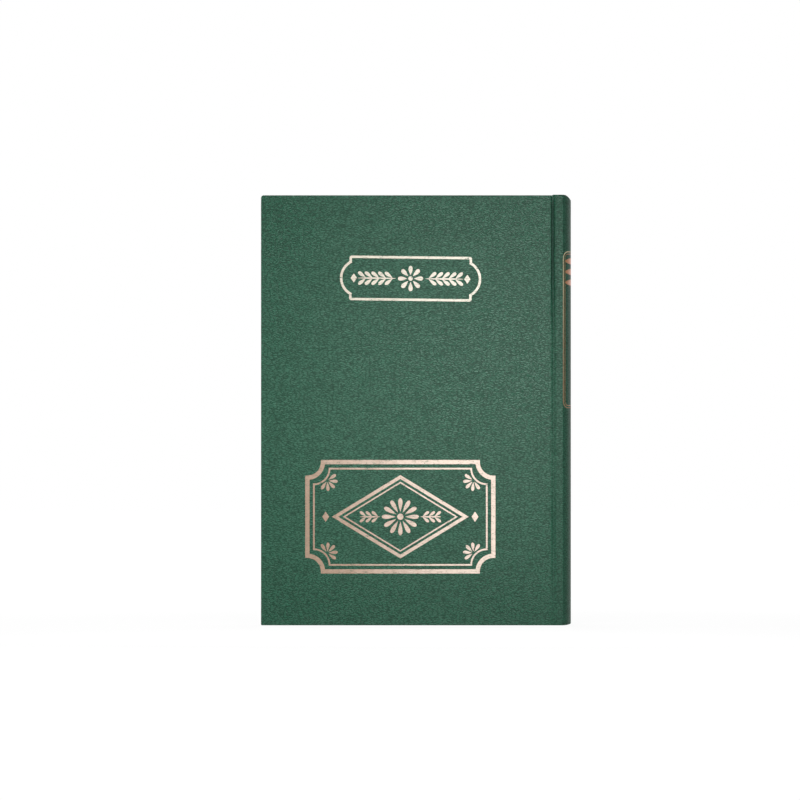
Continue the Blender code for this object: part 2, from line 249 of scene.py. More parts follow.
def build_paper_fibre():
    group, wires, given, result = new_group(
        "Paper fibre",
        "ShaderNodeTree",
        [("Vector", VECTOR, None), ("Fibre", FLOAT, 900.0), ("Cloud", FLOAT, 40.0)],
        [("Tone", FLOAT), ("Height", FLOAT)],
    )
    fibre = wires.noise(given["Vector"], given["Fibre"], detail=4.0, roughness=0.65)
    cloud = wires.noise(given["Vector"], given["Cloud"])
    tone = wires.total(wires.product(fibre, FIBRE_SHARE), wires.product(cloud, CLOUD_SHARE))
    wires.feed(result["Tone"], tone)
    wires.feed(result["Height"], fibre)
    return group


def build_plain_weave():
    group, wires, given, result = new_group(
        "Plain weave",
        "ShaderNodeTree",
        [("Along", FLOAT, 0.0), ("Across", FLOAT, 0.0), ("Threads", FLOAT, 1500.0)],
        [("Thread", FLOAT), ("Height", FLOAT)],
    )
    waves = []
    for label in ("Along", "Across"):
        turn = wires.product(given[label], given["Threads"], 2 * math.pi)
        waves.append(wires.math("MULTIPLY_ADD", wires.math("SINE", turn), 0.5, 0.5))
    height = wires.math("MAXIMUM", *waves)
    wires.feed(result["Thread"], wires.ramp(height, *THREAD_EDGE))
    wires.feed(result["Height"], height)
    return group


paper_fibre = build_paper_fibre()
plain_weave = build_plain_weave()
print("groups:", paper_fibre.name, "and", plain_weave.name)

# %% [markdown]
# ## The green leatherette
#
# A pattern on a bending piece has to stay on its surface, so each new piece remembers where its points
# were at rest in an attribute called rest, and the cloth and paper materials read that. The green is a
# deep one: what lightens it in a studio is the soft sheen of the coating, so the colour itself is darker
# than the cloth looks. Where a hot iron has pressed the cloth it is a little darker and has lost its
# sheen, and down in the groove of the joint the colour is darkened much further as painted shade. Along
# edges and corners it is paler in patches, partly rubbed wear and partly a painted highlight on the round.
# Two more attributes say where, one for the ironing with its painted shade and one for the rub with its
# painted highlight, and read as nought on a piece that has none.


# %% Material: leatherette
def start_material(name, roughness):
    mat = bpy.data.materials.new(name)
    mat.use_nodes = True
    shader = mat.node_tree.nodes["Principled BSDF"]
    shader.inputs["Roughness"].default_value = roughness
    return mat, Wires(mat.node_tree), shader.inputs


def rest_place(wires):
    return wires.add("ShaderNodeAttribute", attribute_name="rest").outputs["Vector"]


def point_value(wires, label):
    return wires.add("ShaderNodeAttribute", attribute_name=label).outputs["Fac"]


def use_group(wires, group, inputs):
    return wires.add("ShaderNodeGroup", inputs, node_tree=group).outputs


def bump(wires, height, strength, distance):
    node = wires.add("ShaderNodeBump", {"Height": height, "Strength": strength, "Distance": distance})
    return node.outputs[0]


GREEN_HOLLOW = (0.005, 0.042, 0.022, 1.0)
GREEN_PEBBLE = (0.024, 0.114, 0.067, 1.0)
# Darker green for ironed cloth, and for painted shade in the groove of the joint
GREEN_IRONED_AND_GROOVE_SHADE = (0.004, 0.022, 0.013, 1.0)
# Paler green along edges and corners: rubbed wear and a painted highlight on the round
GREEN_RUB_AND_HIGHLIGHT = (0.075, 0.165, 0.12, 1.0)
RUB_AND_HIGHLIGHT_STRENGTH = 0.7
RUB_AND_HIGHLIGHT_SCALE = 300.0
RUB_AND_HIGHLIGHT_PATCHES = (0.38, 0.62)
GRAIN_HEIGHTS = (0.3, 1.1)
COAT_ROUGHNESS = (0.50, 0.34)
IRON_AND_GROOVE_DULLER = 0.3
COAT_SPECULAR = 0.13


def leatherette():
    mat, wires, shader = start_material("green_leatherette", 0.5)
    place = rest_place(wires)
    grain = use_group(wires, leather_grain, {"Vector": place})
    # One mask darkens ironed cloth and paints shade into the groove of the joint
    iron_and_groove_shade = point_value(wires, "iron_and_groove_shade")
    patches = wires.ramp(wires.noise(place, RUB_AND_HIGHLIGHT_SCALE, detail=3.0), *RUB_AND_HIGHLIGHT_PATCHES)
    # The other pales edges and corners in patches: rubbed wear and a painted highlight
    rub_and_highlight = wires.product(point_value(wires, "rub_and_highlight"), patches, RUB_AND_HIGHLIGHT_STRENGTH)
    colour = wires.mix(rub_and_highlight, wires.mix(grain["Tone"], GREEN_HOLLOW, GREEN_PEBBLE), GREEN_RUB_AND_HIGHLIGHT)
    wires.feed(shader["Base Color"], wires.mix(iron_and_groove_shade, colour, GREEN_IRONED_AND_GROOVE_SHADE))
    coat = wires.ramp(grain["Height"], *GRAIN_HEIGHTS, *COAT_ROUGHNESS)
    wires.feed(shader["Roughness"], wires.math("MULTIPLY_ADD", iron_and_groove_shade, IRON_AND_GROOVE_DULLER, coat))
    wires.feed(shader["Normal"], bump(wires, grain["Height"], strength=0.75, distance=0.14 * MM))
    shader["Specular IOR Level"].default_value = COAT_SPECULAR
    return mat


green_cloth = leatherette()
print("material:", green_cloth.name)

# %% [markdown]
# ## Stamped foil
#
# Foil is a metal film pressed on by a hot die. It is as thin as paint, takes the grain below it, and is
# missing in specks where a hollow was too deep for the die. So the foil is a thin shape on the cloth
# whose material fades from metal to bare cloth by the grain group's hollows. Each foil's colour also runs
# from a deep end to a pale end. On the rose panel that is partly the film's own shift from pale gold to
# copper and partly painted light, darker at the lower left and paler at the upper right; on the cream
# title it is painted light, paler towards the right, the side the light comes from.

# %% Materials: foils
HOLLOW_DULLER = 0.12
FILM_CLOUD_SCALE, FILM_CLOUD = 160.0, 0.5


def foil(name, pale, deep, low, high, metal, roughness):
    """Metal film whose colour runs from deep at one point to pale at another."""
    mat, wires, shader = start_material(name, roughness)
    place = rest_place(wires)
    grain = use_group(wires, leather_grain, {"Vector": place})
    way = Vector(high) - Vector(low)
    from_low = wires.shifted(place, tuple(-Vector(low)))
    along = wires.vector("DOT_PRODUCT", from_low, way / way.length_squared)["Value"]
    cloud = wires.noise(place, FILM_CLOUD_SCALE)
    share = wires.total(along, wires.math("MULTIPLY_ADD", cloud, FILM_CLOUD, -FILM_CLOUD / 2))
    colour = wires.mix(wires.ramp(share, 0.0, 1.0), (*deep, 1.0), (*pale, 1.0))
    wires.feed(shader["Base Color"], wires.mix(grain["Hollow"], colour, GREEN_PEBBLE))
    wires.feed(shader["Metallic"], wires.product(wires.math("SUBTRACT", 1.0, grain["Hollow"]), metal))
    dull = wires.ramp(grain["Height"], *GRAIN_HEIGHTS, roughness + HOLLOW_DULLER, roughness)
    wires.feed(shader["Roughness"], dull)
    wires.feed(shader["Normal"], bump(wires, grain["Height"], strength=0.25, distance=0.08 * MM))
    return mat


PANEL_X = FORE_X + 98.2 * MM
PANEL_Z = CASE_TOP - 226.5 * MM
TITLE_X = FORE_X + 105.4 * MM
TITLE_Z = CASE_TOP - 58.7 * MM

# The cream's run from deep at the left to pale at the right is painted light, paler where the light falls
cream_foil = foil(
    "cream_foil", pale=(0.52, 0.495, 0.43), deep=(0.455, 0.42, 0.355), metal=0.8, roughness=0.64,
    low=(TITLE_X - 0.05, 0, TITLE_Z), high=(TITLE_X + 0.05, 0, TITLE_Z),
)
# The rose runs from copper at the lower left to pale gold at the upper right: partly the film's own colour,
# partly painted light
rose_foil = foil(
    "rose_foil", pale=(0.51, 0.43, 0.37), deep=(0.28, 0.20, 0.147), metal=0.9, roughness=0.64,
    low=(PANEL_X - 0.065, 0, PANEL_Z - 0.025), high=(PANEL_X + 0.045, 0, PANEL_Z + 0.008),
)
spine_foil = foil(
    "spine_foil", pale=(0.54, 0.46, 0.31), deep=(0.33, 0.185, 0.11), metal=0.9, roughness=0.60,
    low=(APEX_X, 0, 0.15), high=(APEX_X, 0, 0.265),
)
copper_foil = foil(
    "copper_foil", pale=(0.60, 0.37, 0.30), deep=(0.30, 0.15, 0.075), metal=0.9, roughness=0.60,
    low=(CREASE_X, -0.0105, 0.25), high=(CREASE_X, -0.003, 0.25),
)
print("foils:", cream_foil.name, rose_foil.name, spine_foil.name, copper_foil.name)

# %% [markdown]
# ## Mesh helpers
#
# Most of the book is sheet goods: an outline carried through a few levels. A loft joins loops of points
# into a closed skin, which suits boards, strips and folded cloth alike. Each finished mesh is shaded
# smooth with its true edges kept sharp, and is given its rest attribute.


# %% Helpers for sheet goods
def add_piece(name, bm, mats, sharp=35):
    bmesh.ops.recalc_face_normals(bm, faces=bm.faces)
    mesh = bpy.data.meshes.new(name)
    bm.to_mesh(mesh)
    bm.free()
    for mat in mats:
        mesh.materials.append(mat)
    return place_mesh(name, mesh, sharp)


def place_mesh(name, mesh, sharp):
    """Shade a mesh and put it in the scene, with its points remembered as they are at rest."""
    mesh.shade_smooth()
    mesh.set_sharp_from_angle(angle=math.radians(sharp))
    points = [0.0] * (3 * len(mesh.vertices))
    mesh.vertices.foreach_get("co", points)
    mesh.attributes.new("rest", "FLOAT_VECTOR", "POINT").data.foreach_set("vector", points)
    piece = bpy.data.objects.new(name, mesh)
    bpy.context.collection.objects.link(piece)
    return piece


def loft(loops):
    """Closed skin through loops of points, with a flat cap at each end."""
    bm = bmesh.new()
    rings = [[bm.verts.new(point) for point in loop] for loop in loops]
    for ring, after in zip(rings, rings[1:]):
        for i, vert in enumerate(ring):
            j = (i + 1) % len(ring)
            bm.faces.new((vert, ring[j], after[j], after[i]))
    bm.faces.new(rings[0])
    bm.faces.new(rings[-1])
    return bm


def note_points(piece, label, values):
    """Store one number for each point of a piece, for its material to read."""
    piece.data.attributes.new(label, "FLOAT", "POINT").data.foreach_set("value", values)


def triangles(piece):
    piece.data.calc_loop_triangles()
    return len(piece.data.loop_triangles)


print("mesh helpers ready")

# %% [markdown]
# ## The covers
#
# A cover is a board with the cloth drawn over it and turned in. Its edges are softly round because the
# sheet can't crease sharply, and its head corner is rounder than its tail corner, which has been stood
# on. The skin is a loft of insets of one outline: across the face, round the edge, and back over the
# turn-ins. A narrow ring just inside the edge keeps the round out of the shading of the flat face. The
# paler rim, partly rubbed wear and partly a painted highlight on the round, fades from the edge to that
# ring, and along head and tail from the fore corners to the joint.

# %% Front and back cover
EDGE_ROUND = 0.7 * MM
HEAD_CORNER = 2.0 * MM
TAIL_CORNER = 0.8 * MM
LEAST_CORNER = 0.05 * MM
CORNER_STEPS = 8
EDGE_STEPS = 6
HOLDING_RING = 0.35 * MM
# Every point of the outlines past this is on the side of the joint
JOINT_SIDE = COVER_X - 2 * TURN_IN


def cover_outline(inset):
    left, right, low, high = FORE_X + inset, COVER_X - inset, inset, CASE_TOP - inset
    head = max(HEAD_CORNER - inset, LEAST_CORNER)
    tail = max(TAIL_CORNER - inset, LEAST_CORNER)
    points = [(right, low), (right, high)]
    for height, radius, start in ((high - head, head, 90), (low + tail, tail, 180)):
        for i in range(CORNER_STEPS + 1):
            turn = math.radians(start + 90 * i / CORNER_STEPS)
            points.append((left + radius + radius * math.cos(turn), height + radius * math.sin(turn)))
    return points


def edge_levels(depth, way):
    levels = [(EDGE_ROUND + HOLDING_RING, depth)]
    for i in range(EDGE_STEPS + 1):
        turn = math.pi / 2 * i / EDGE_STEPS
        inset = EDGE_ROUND * (1 - math.sin(turn))
        levels.append((inset, depth + way * EDGE_ROUND * (1 - math.cos(turn))))
    return levels


def build_cover(label, side):
    levels = edge_levels(0.0, 1) + edge_levels(COVER_DEPTH, -1)[::-1]
    levels += [(TURN_IN, COVER_DEPTH), (TURN_IN + CLOTH, COVER_DEPTH - CLOTH)]
    loops = []
    for inset, depth in levels:
        loops.append([(x, side * (FACE - depth), z) for x, z in cover_outline(inset)])
    cover = add_piece(label + "_cover_skin", loft(loops), [green_cloth])
    # Paler rim along the edges: rubbed wear and a painted highlight on the round
    rub_and_highlight = []
    for inset, depth in levels:
        edge_rub_and_highlight = max(0.0, 1 - inset / (EDGE_ROUND + HOLDING_RING))
        rub_and_highlight += [0.0 if x > JOINT_SIDE else edge_rub_and_highlight for x, z in cover_outline(inset)]
    note_points(cover, "rub_and_highlight", rub_and_highlight)
    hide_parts(label + "_cover_cloth")
    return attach(cover, label + "_cover")


for label, side in SIDES:
    print(label, "cover:", triangles(build_cover(label, side)), "triangles")

# %% [markdown]
# ## The joints
#
# Between board and spine the cloth lies over nothing, and a hot iron presses it down into a groove. That
# groove is the hinge. On this book it is deepest at the head, where it lies close to the board, and is
# nearly flat lower down, where it wanders towards the spine.

# %% The groove of a joint
JOINT_START = COVER_X - 0.9 * MM
GROOVE_START = COVER_X - 0.6 * MM
GROOVE_RISE = 0.9 * MM
HEAD_FLOOR = (0.2 * MM, 1.5 * MM)
LOW_FLOOR = (1.5 * MM, 2.1 * MM)
WANDER_LOW, WANDER_HIGH = 200 * MM, 262 * MM
FINE_CREASE_X = COVER_X + 3.1 * MM
FINE_CREASE_HALF = 0.4 * MM
FINE_CREASE = 0.12 * MM
TUCK = 0.06 * MM
# Groove depth in millimetres by height in millimetres above the tail
GROOVE_DEPTHS = (
    (0, 0.20), (26, 0.25), (67, 0.56), (116, 0.30), (195, 0.50), (262, 1.15), (296, 1.10), (304, 0.5),
)
DEEP_GROOVE = 1.15
# The iron darkens the strip a little; the groove and the fine crease are darkened further as painted shade
IRONED, GROOVE_PAINTED_SHADE, CREASE_PAINTED_SHADE = 0.13, 0.72, 0.2
GROOVE_PAINTED_SHADE_POWER = 1.7
IRON_EDGE = 1.0 * MM


def ease(value, start, stop):
    """Nought at the start and one at the stop, level at both ends."""
    share = min(max((value - start) / (stop - start), 0.0), 1.0)
    return share * share * (3 - 2 * share)


def groove_depth(z):
    for (low, first), (high, second) in zip(GROOVE_DEPTHS, GROOVE_DEPTHS[1:]):
        if z / MM <= high:
            return (first + (second - first) * ease(z / MM, low, high)) * MM
    return GROOVE_DEPTHS[-1][1] * MM


def groove_share(x, z):
    """Nought outside the groove and one on its floor."""
    up = ease(z, WANDER_LOW, WANDER_HIGH)
    left, right = (COVER_X + low + (head - low) * up for low, head in zip(LOW_FLOOR, HEAD_FLOOR))
    return min(ease(x, GROOVE_START, left), 1 - ease(x, right, right + GROOVE_RISE))


def fine_crease(x):
    return max(0.0, 1 - abs(x - FINE_CREASE_X) / FINE_CREASE_HALF)


def joint_depth(x, z):
    """How far the joint cloth lies below the face of the cover."""
    tuck = TUCK * max(0.0, 1 - (x - JOINT_START) / (COVER_X - JOINT_START))
    return groove_depth(z) * groove_share(x, z) + FINE_CREASE * fine_crease(x) + tuck


def iron_and_groove_shade_share(x, z):
    """How dark the cloth is painted: a little and evenly where the iron has been beside the groove, and much
    more as painted shade on the groove's floor and in its fine crease.
    """
    depth = groove_depth(z) / (DEEP_GROOVE * MM)
    ironed = IRONED * ease(x, COVER_X, COVER_X + IRON_EDGE)
    # Painted shade on the groove's floor, darker the deeper the groove
    groove = GROOVE_PAINTED_SHADE * depth**GROOVE_PAINTED_SHADE_POWER * groove_share(x, z)
    return min(1.0, max(ironed, groove) + CREASE_PAINTED_SHADE * depth * fine_crease(x))


for z in (20 * MM, 150 * MM, 280 * MM):
    print("groove at %.0f mm up: %.2f mm deep" % (z / MM, groove_depth(z) / MM))

# %% Joint cloth
JOINT_COLUMNS = 44
JOINT_ROWS = 64
JOINT_CLOTH = 0.4 * MM
HEAD_RISE = 1.0 * MM
HEAD_TUCK = 0.3 * MM
COLUMN_POWER = 1.25
END_THINNING = (0.35, 0.75, 0.95)


def joint_top(x):
    """The strip rises from under the cover's head edge to the taller spine."""
    share = min(max((x - COVER_X) / HEAD_RISE, 0.0), 1.0)
    return CASE_TOP - HEAD_TUCK + share * (SPINE_TOP - CASE_TOP + HEAD_TUCK)


def build_joint(label, side):
    columns = []
    for i in range(JOINT_COLUMNS + 1):
        share = i / JOINT_COLUMNS
        columns.append(JOINT_START + (CREASE_X - JOINT_START) * share**COLUMN_POWER)
    loops = []
    for row in range(JOINT_ROWS + 1):
        height = 0.5 - 0.5 * math.cos(math.pi * row / JOINT_ROWS)
        ends = min(row, JOINT_ROWS - row)
        thin = END_THINNING[ends] if ends < len(END_THINNING) else 1.0
        outer, inner = [], []
        for x in columns:
            z = height * joint_top(x)
            middle = FACE - joint_depth(x, z) - JOINT_CLOTH / 2
            outer.append((x, side * (middle + thin * JOINT_CLOTH / 2), z))
            inner.append((x, side * (middle - thin * JOINT_CLOTH / 2), z))
        loops.append(outer + inner[::-1])
    joint = add_piece(label + "_joint_skin", loft(loops), [green_cloth])
    # Ironing and painted groove shade, for the cloth material to read
    note_points(joint, "iron_and_groove_shade", [iron_and_groove_shade_share(vert.co.x, vert.co.z) for vert in joint.data.vertices])
    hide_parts(label + "_joint_cloth")
    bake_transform(joint)
    return joint


for label, side in SIDES:
    print(label, "joint:", triangles(build_joint(label, side)), "triangles")

# %% [markdown]
# ## The spine
#
# The back of a rounded book bulges between two creases, and the cloth is turned in over the card inside
# it at head and tail, which draws the middle of the cap down. The section through the cloth is drawn
# once, with its round cap and turn-ins, and swept round the arc while the cap's height changes.

# %% Spine cloth
ARC_STEPS = 64
CAP_STEPS = 5
CAP_ROUND = 0.6 * MM
CAP_DIP_WIDTH = 5.2 * MM
CAP_DIP_POWER = 2.2
HEAD_DIP = 3.6 * MM
TAIL_DIP = 0.8 * MM
CAP_INSIDE = SPINE_RADIUS - 1.7 * MM


def on_arc(radius, turn, z):
    return (SPINE_CENTRE_X + radius * math.cos(turn), radius * math.sin(turn), z)


def cap_dip(turn, dip):
    from_apex = SPINE_RADIUS * (1 - math.cos(turn))
    return dip * max(0.0, 1 - from_apex / CAP_DIP_WIDTH) ** CAP_DIP_POWER


def spine_profile(low, top):
    """Section through the cloth, from the tail's cap up the outside, over the head and down inside."""
    profile = []
    for edge, way in ((low, -1), (top, 1)):
        steps = range(CAP_STEPS + 1)
        for i in steps if way > 0 else reversed(steps):
            turn = math.pi / 2 * i / CAP_STEPS
            radius = SPINE_RADIUS - CAP_ROUND * (1 - math.cos(turn))
            profile.append((radius, edge - way * CAP_ROUND * (1 - math.sin(turn))))
    profile += [(CAP_INSIDE, top), (CAP_INSIDE, SPINE_TOP - TURN_IN)]
    profile += [(CAP_INSIDE + CLOTH, SPINE_TOP - TURN_IN), (CAP_INSIDE + CLOTH, top - CLOTH)]
    profile += [(SPINE_RADIUS - CLOTH, top - CLOTH), (SPINE_RADIUS - CLOTH, low + CLOTH)]
    profile += [(CAP_INSIDE + CLOTH, low + CLOTH), (CAP_INSIDE + CLOTH, TURN_IN)]
    return profile + [(CAP_INSIDE, TURN_IN), (CAP_INSIDE, low)]


spine_loops = []
for step in range(ARC_STEPS + 1):
    turn = CREASE_ANGLE * (2 * step / ARC_STEPS - 1)
    section = spine_profile(cap_dip(turn, TAIL_DIP), SPINE_TOP - cap_dip(turn, HEAD_DIP))
    spine_loops.append([on_arc(radius, turn, z) for radius, z in section])
spine_skin = add_piece("spine_skin", loft(spine_loops), [green_cloth], sharp=50)
# The caps' round gets the same paler rim: rubbed wear and a painted highlight
cap_rub_and_highlight = [math.sin(math.pi / 2 * i / CAP_STEPS) for i in range(CAP_STEPS + 1)]
inside_points = len(spine_loops[0]) - 2 * len(cap_rub_and_highlight)
note_points(spine_skin, "rub_and_highlight", (cap_rub_and_highlight[::-1] + cap_rub_and_highlight + [0.0] * inside_points) * len(spine_loops))
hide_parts("spine_cloth")
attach(spine_skin, "text_block")
print("spine:", triangles(spine_skin), "triangles")

# %% [markdown]
# ## Drawing with foil
#
# A die has two kinds of mark: lines of an even width, and filled shapes. Both are drawn flat, in
# millimetres about the middle of their panel, and a placing function lays them on the cover or round the
# spine. Each is a closed film a few hundredths of a millimetre thick that sinks a little into the cloth.
# Petals get a slightly thicker film than rules, so where one crosses the other the upper one is plain.

# %% Helpers for foil lines and shapes
FILM = 0.03 * MM
PETAL_FILM = 0.04 * MM
SINK = 0.03 * MM
SHARPEST_MITRE = 0.4
SAME_POINT = 1e-4


def on_cover(centre_x, centre_z, tilt=0.0):
    """Place panel millimetres on the front cover, turned clockwise by a tilt in degrees."""
    c, s = math.cos(math.radians(tilt)), math.sin(math.radians(tilt))

    def place(u, v, lift):
        return (centre_x + (u * c + v * s) * MM, -FACE - lift, centre_z + (v * c - u * s) * MM)

    return place


def on_spine(centre_z):
    """Place millimetres round the arc and up the spine."""

    def place(u, v, lift):
        return on_arc(SPINE_RADIUS + lift, u * MM / SPINE_RADIUS, centre_z + v * MM)

    return place


def draw_line(bm, path, width, place):
    """A closed line of even width, as a film with mitred turns."""
    count = len(path)
    corners = []
    for i, point in enumerate(path):
        before, here, after = (Vector(path[(i + k) % count]) for k in (-1, 0, 1))
        first, second = (here - before).normalized(), (after - here).normalized()
        normal = Vector((-first.y - second.y, first.x + second.x)).normalized()
        stretch = width / 2 / max(SHARPEST_MITRE, normal.dot(Vector((-second.y, second.x))))
        left, right = here + normal * stretch, here - normal * stretch
        corners.append([bm.verts.new(place(p.x, p.y, lift)) for p, lift in
                        ((left, FILM), (right, FILM), (right, -SINK), (left, -SINK))])
    for i, ring in enumerate(corners):
        after = corners[(i + 1) % count]
        for k in range(4):
            bm.faces.new((ring[k], ring[(k + 1) % 4], after[(k + 1) % 4], after[k]))


def draw_shape(bm, outline, place):
    """A filled shape, as a film."""
    top = [bm.verts.new(place(u, v, FILM)) for u, v in outline]
    base = [bm.verts.new(place(u, v, -SINK)) for u, v in outline]
    bm.faces.new(top)
    bm.faces.new(base[::-1])
    for i, vert in enumerate(top):
        j = (i + 1) % len(top)
        bm.faces.new((vert, base[i], base[j], top[j]))


def arc_points(centre, radius, start, stop, steps):
    turns = [math.radians(start + (stop - start) * i / steps) for i in range(steps + 1)]
    return [(centre[0] + radius * math.cos(t), centre[1] + radius * math.sin(t)) for t in turns]


def disc(radius, sides=24):
    return arc_points((0, 0), radius, 0, 360 - 360 / sides, sides - 1)


def mirrored(quarter):
    """A closed outline from the points of its upper right quarter, listed clockwise."""
    right = quarter + [(u, -v) for u, v in quarter[::-1]]
    outline = right + [(-u, v) for u, v in right[::-1]]
    pairs = zip(outline, outline[-1:] + outline[:-1])
    return [here for here, before in pairs if (Vector(here) - Vector(before)).length > SAME_POINT]


def ride_cover(piece):
    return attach(piece, "front_cover")


print("foil helpers ready")

# %% [markdown]
# ## The title cartouche
#
# The frame round the title is a common binder's shape: straight above and below, stepped at the corners,
# and bowed at the ends. The die was set a little askew, and that is kept, because such slips are what
# make a cover look stamped and not drawn.

# %% Title cartouche
TITLE_TILT = 0.67
TITLE_LINE = 1.7
BOW = 6.6
STEP_U, STEP_V, TITLE_HALF = 42.3, 11.2, 14.9
CORNER_ROUND, NOTCH_ROUND = 0.9, 0.6
BOW_RADIUS = (STEP_V**2 + BOW**2) / (2 * BOW)
BOW_CENTRE = STEP_U + BOW - BOW_RADIUS
BOW_TURN = math.degrees(math.asin(STEP_V / BOW_RADIUS))

quarter = arc_points((STEP_U - CORNER_ROUND, TITLE_HALF - CORNER_ROUND), CORNER_ROUND, 90, 0, 4)
quarter += arc_points((STEP_U + NOTCH_ROUND, STEP_V + CORNER_ROUND), NOTCH_ROUND, 180, 215, 3)
quarter += arc_points((BOW_CENTRE, 0.0), BOW_RADIUS, BOW_TURN, 0, 14)
title_bm = bmesh.new()
draw_line(title_bm, mirrored(quarter), TITLE_LINE, on_cover(TITLE_X, TITLE_Z, TITLE_TILT))
title_frame = ride_cover(add_piece("title_cartouche", title_bm, [cream_foil]))
print("cartouche:", triangles(title_frame), "triangles")

# %% [markdown]
# ## Petals
#
# Binders built whole panels from one small petal tool, struck again and again round a centre. Geometry
# Nodes do just that: one petal is made from a cylinder by pulling its round into a drop, and it is
# placed on a set of points that each turn it by one more step and may move it by one more stride. A full
# turn gives a rosette, a quarter a corner fan, and a stride without a turn a row of laurel leaves. The
# result is realised and kept as a plain mesh.

# %% Helpers for geometry nodes
GEOMETRY = "NodeSocketGeometry"
INTEGER = "NodeSocketInt"
MATERIAL = "NodeSocketMaterial"


def current_place(wires):
    return wires.split(wires.add("GeometryNodeInputPosition").outputs[0])


def moved(wires, geometry, place):
    return wires.add("GeometryNodeSetPosition", {"Geometry": geometry, "Position": place}).outputs[0]


def turned(wires, x, y, z):
    return wires.add("FunctionNodeEulerToRotation", {"Euler": wires.xyz(x, y, z)}).outputs[0]


def copied(wires, points, shape, rotation=None):
    inputs = {"Points": points, "Instance": shape, "Rotation": rotation}
    return wires.add("GeometryNodeInstanceOnPoints", inputs).outputs[0]


def realised(wires, copies):
    return wires.add("GeometryNodeRealizeInstances", {"Geometry": copies}).outputs[0]


def made_of(wires, geometry, mat, where=None):
    inputs = {"Geometry": geometry, "Selection": where, "Material": mat}
    return wires.add("GeometryNodeSetMaterial", inputs).outputs[0]


print("geometry helpers ready")

# %% Geometry nodes: petals round a centre
PETAL_SIDES = 24
DROP_POWER = 0.7


def petal_tree():
    tree, wires, given, result = new_group(
        "Struck petals",
        "GeometryNodeTree",
        [
            ("Petals", INTEGER, 8), ("Start", FLOAT, 0.0), ("Step", FLOAT, 0.785), ("Inner", FLOAT, 0.002),
            ("Length", FLOAT, 0.006), ("Width", FLOAT, 0.003), ("Film", FLOAT, 0.00006),
            ("Centre", VECTOR, None), ("Stride", VECTOR, None), ("Foil", MATERIAL, None),
        ],
        [("Geometry", GEOMETRY)],
    )
    drum = wires.add("GeometryNodeMeshCylinder", {"Vertices": PETAL_SIDES, "Radius": 1.0, "Depth": 1.0})
    across, up, through = current_place(wires)
    share = wires.math("MULTIPLY_ADD", across, 0.5, 0.5)
    drop = wires.math("POWER", share, DROP_POWER)
    x = wires.math("MULTIPLY_ADD", share, given["Length"], given["Inner"])
    z = wires.product(up, drop, given["Width"], 0.5)
    y = wires.product(through, given["Film"], -1.0)
    petal = moved(wires, drum.outputs["Mesh"], wires.xyz(x, y, z))
    index = wires.add("GeometryNodeInputIndex").outputs[0]
    spot = wires.shifted(wires.scaled(given["Stride"], wires.xyz(index, index, index)), given["Centre"])
    points = wires.add("GeometryNodePoints", {"Count": given["Petals"]}).outputs[0]
    turn = wires.math("MULTIPLY_ADD", index, given["Step"], given["Start"])
    rotation = turned(wires, 0.0, wires.product(turn, -1.0), 0.0)
    struck = copied(wires, moved(wires, points, spot), petal, rotation)
    wires.feed(result["Geometry"], made_of(wires, realised(wires, struck), given["Foil"]))
    return tree


def grow(name, tree, values, sharp=35):
    """Run a geometry tree with its own sizes and keep what it makes as a plain mesh."""
    holder = bpy.data.objects.new(name + "_seed", bpy.data.meshes.new(name + "_seed"))
    bpy.context.collection.objects.link(holder)
    modifier = holder.modifiers.new("grow", "NODES")
    modifier.node_group = tree
    for item in tree.interface.items_tree:
        if item.item_type == "SOCKET" and item.in_out == "INPUT" and item.name in values:
            modifier[item.identifier] = values[item.name]
    graph = bpy.context.evaluated_depsgraph_get()
    mesh = bpy.data.meshes.new_from_object(holder.evaluated_get(graph), depsgraph=graph)
    bpy.data.objects.remove(holder)
    mesh.name = name
    return place_mesh(name, mesh, sharp)


struck_petals = petal_tree()
print("tree:", struck_petals.name)

# %% [markdown]
# ## The title ornament
#
# A title frame that is left for its owner to fill gets a binder's ornament: a rosette between two laurel
# sprays, closed by small lozenges. It fills the frame and has the same cream foil.

# %% Title rosette, laurel and lozenges
TITLE_PLACE = on_cover(TITLE_X, TITLE_Z, TITLE_TILT)
LAUREL_TILT = 38.0
LAUREL_INNER = 0.35
RULE_POWER, RULE_END = 0.8, 0.12


def petals(name, place, centre, count, start, step, inner, length, width, mat, stride=0.0):
    """Petals struck on the front cover; lengths in millimetres, turns in degrees."""
    lift = (PETAL_FILM - SINK) / 2
    spot = Vector(place(centre[0], centre[1], lift))
    return ride_cover(grow(name, struck_petals, {
        "Petals": count, "Start": math.radians(start), "Step": math.radians(step), "Inner": inner * MM,
        "Length": length * MM, "Width": width * MM, "Film": PETAL_FILM + SINK, "Foil": mat, "Centre": spot,
        "Stride": Vector(place(centre[0] + stride, centre[1], lift)) - spot,
    }))


def laurel(name, place, start, count, stride, length, width, mat):
    """Leaves in pairs along a stem that runs outwards from both sides of a panel's middle."""
    for way, end in ((1, "right"), (-1, "left")):
        for tilt, row in ((1, "upper"), (-1, "lower")):
            turn = tilt * LAUREL_TILT if way > 0 else 180 - tilt * LAUREL_TILT
            petals(
                "%s_%s_%s" % (name, row, end), place, (way * start, 0.0), count=count, start=turn, step=0.0,
                inner=LAUREL_INNER, length=length, width=width, mat=mat, stride=way * stride,
            )


def lozenge(centre, half_u, half_v):
    u, v = centre
    return [(u + half_u, v), (u, v + half_v), (u - half_u, v), (u, v - half_v)]


def swelled_rule(start, stop, thick, steps=12):
    """A rule that tapers to both ends."""
    upper = []
    for i in range(steps + 1):
        share = i / steps
        swell = math.sin(math.pi * share) ** RULE_POWER
        upper.append((start + (stop - start) * share, thick / 2 * swell + RULE_END))
    return upper + [(u, -v) for u, v in upper[::-1]]


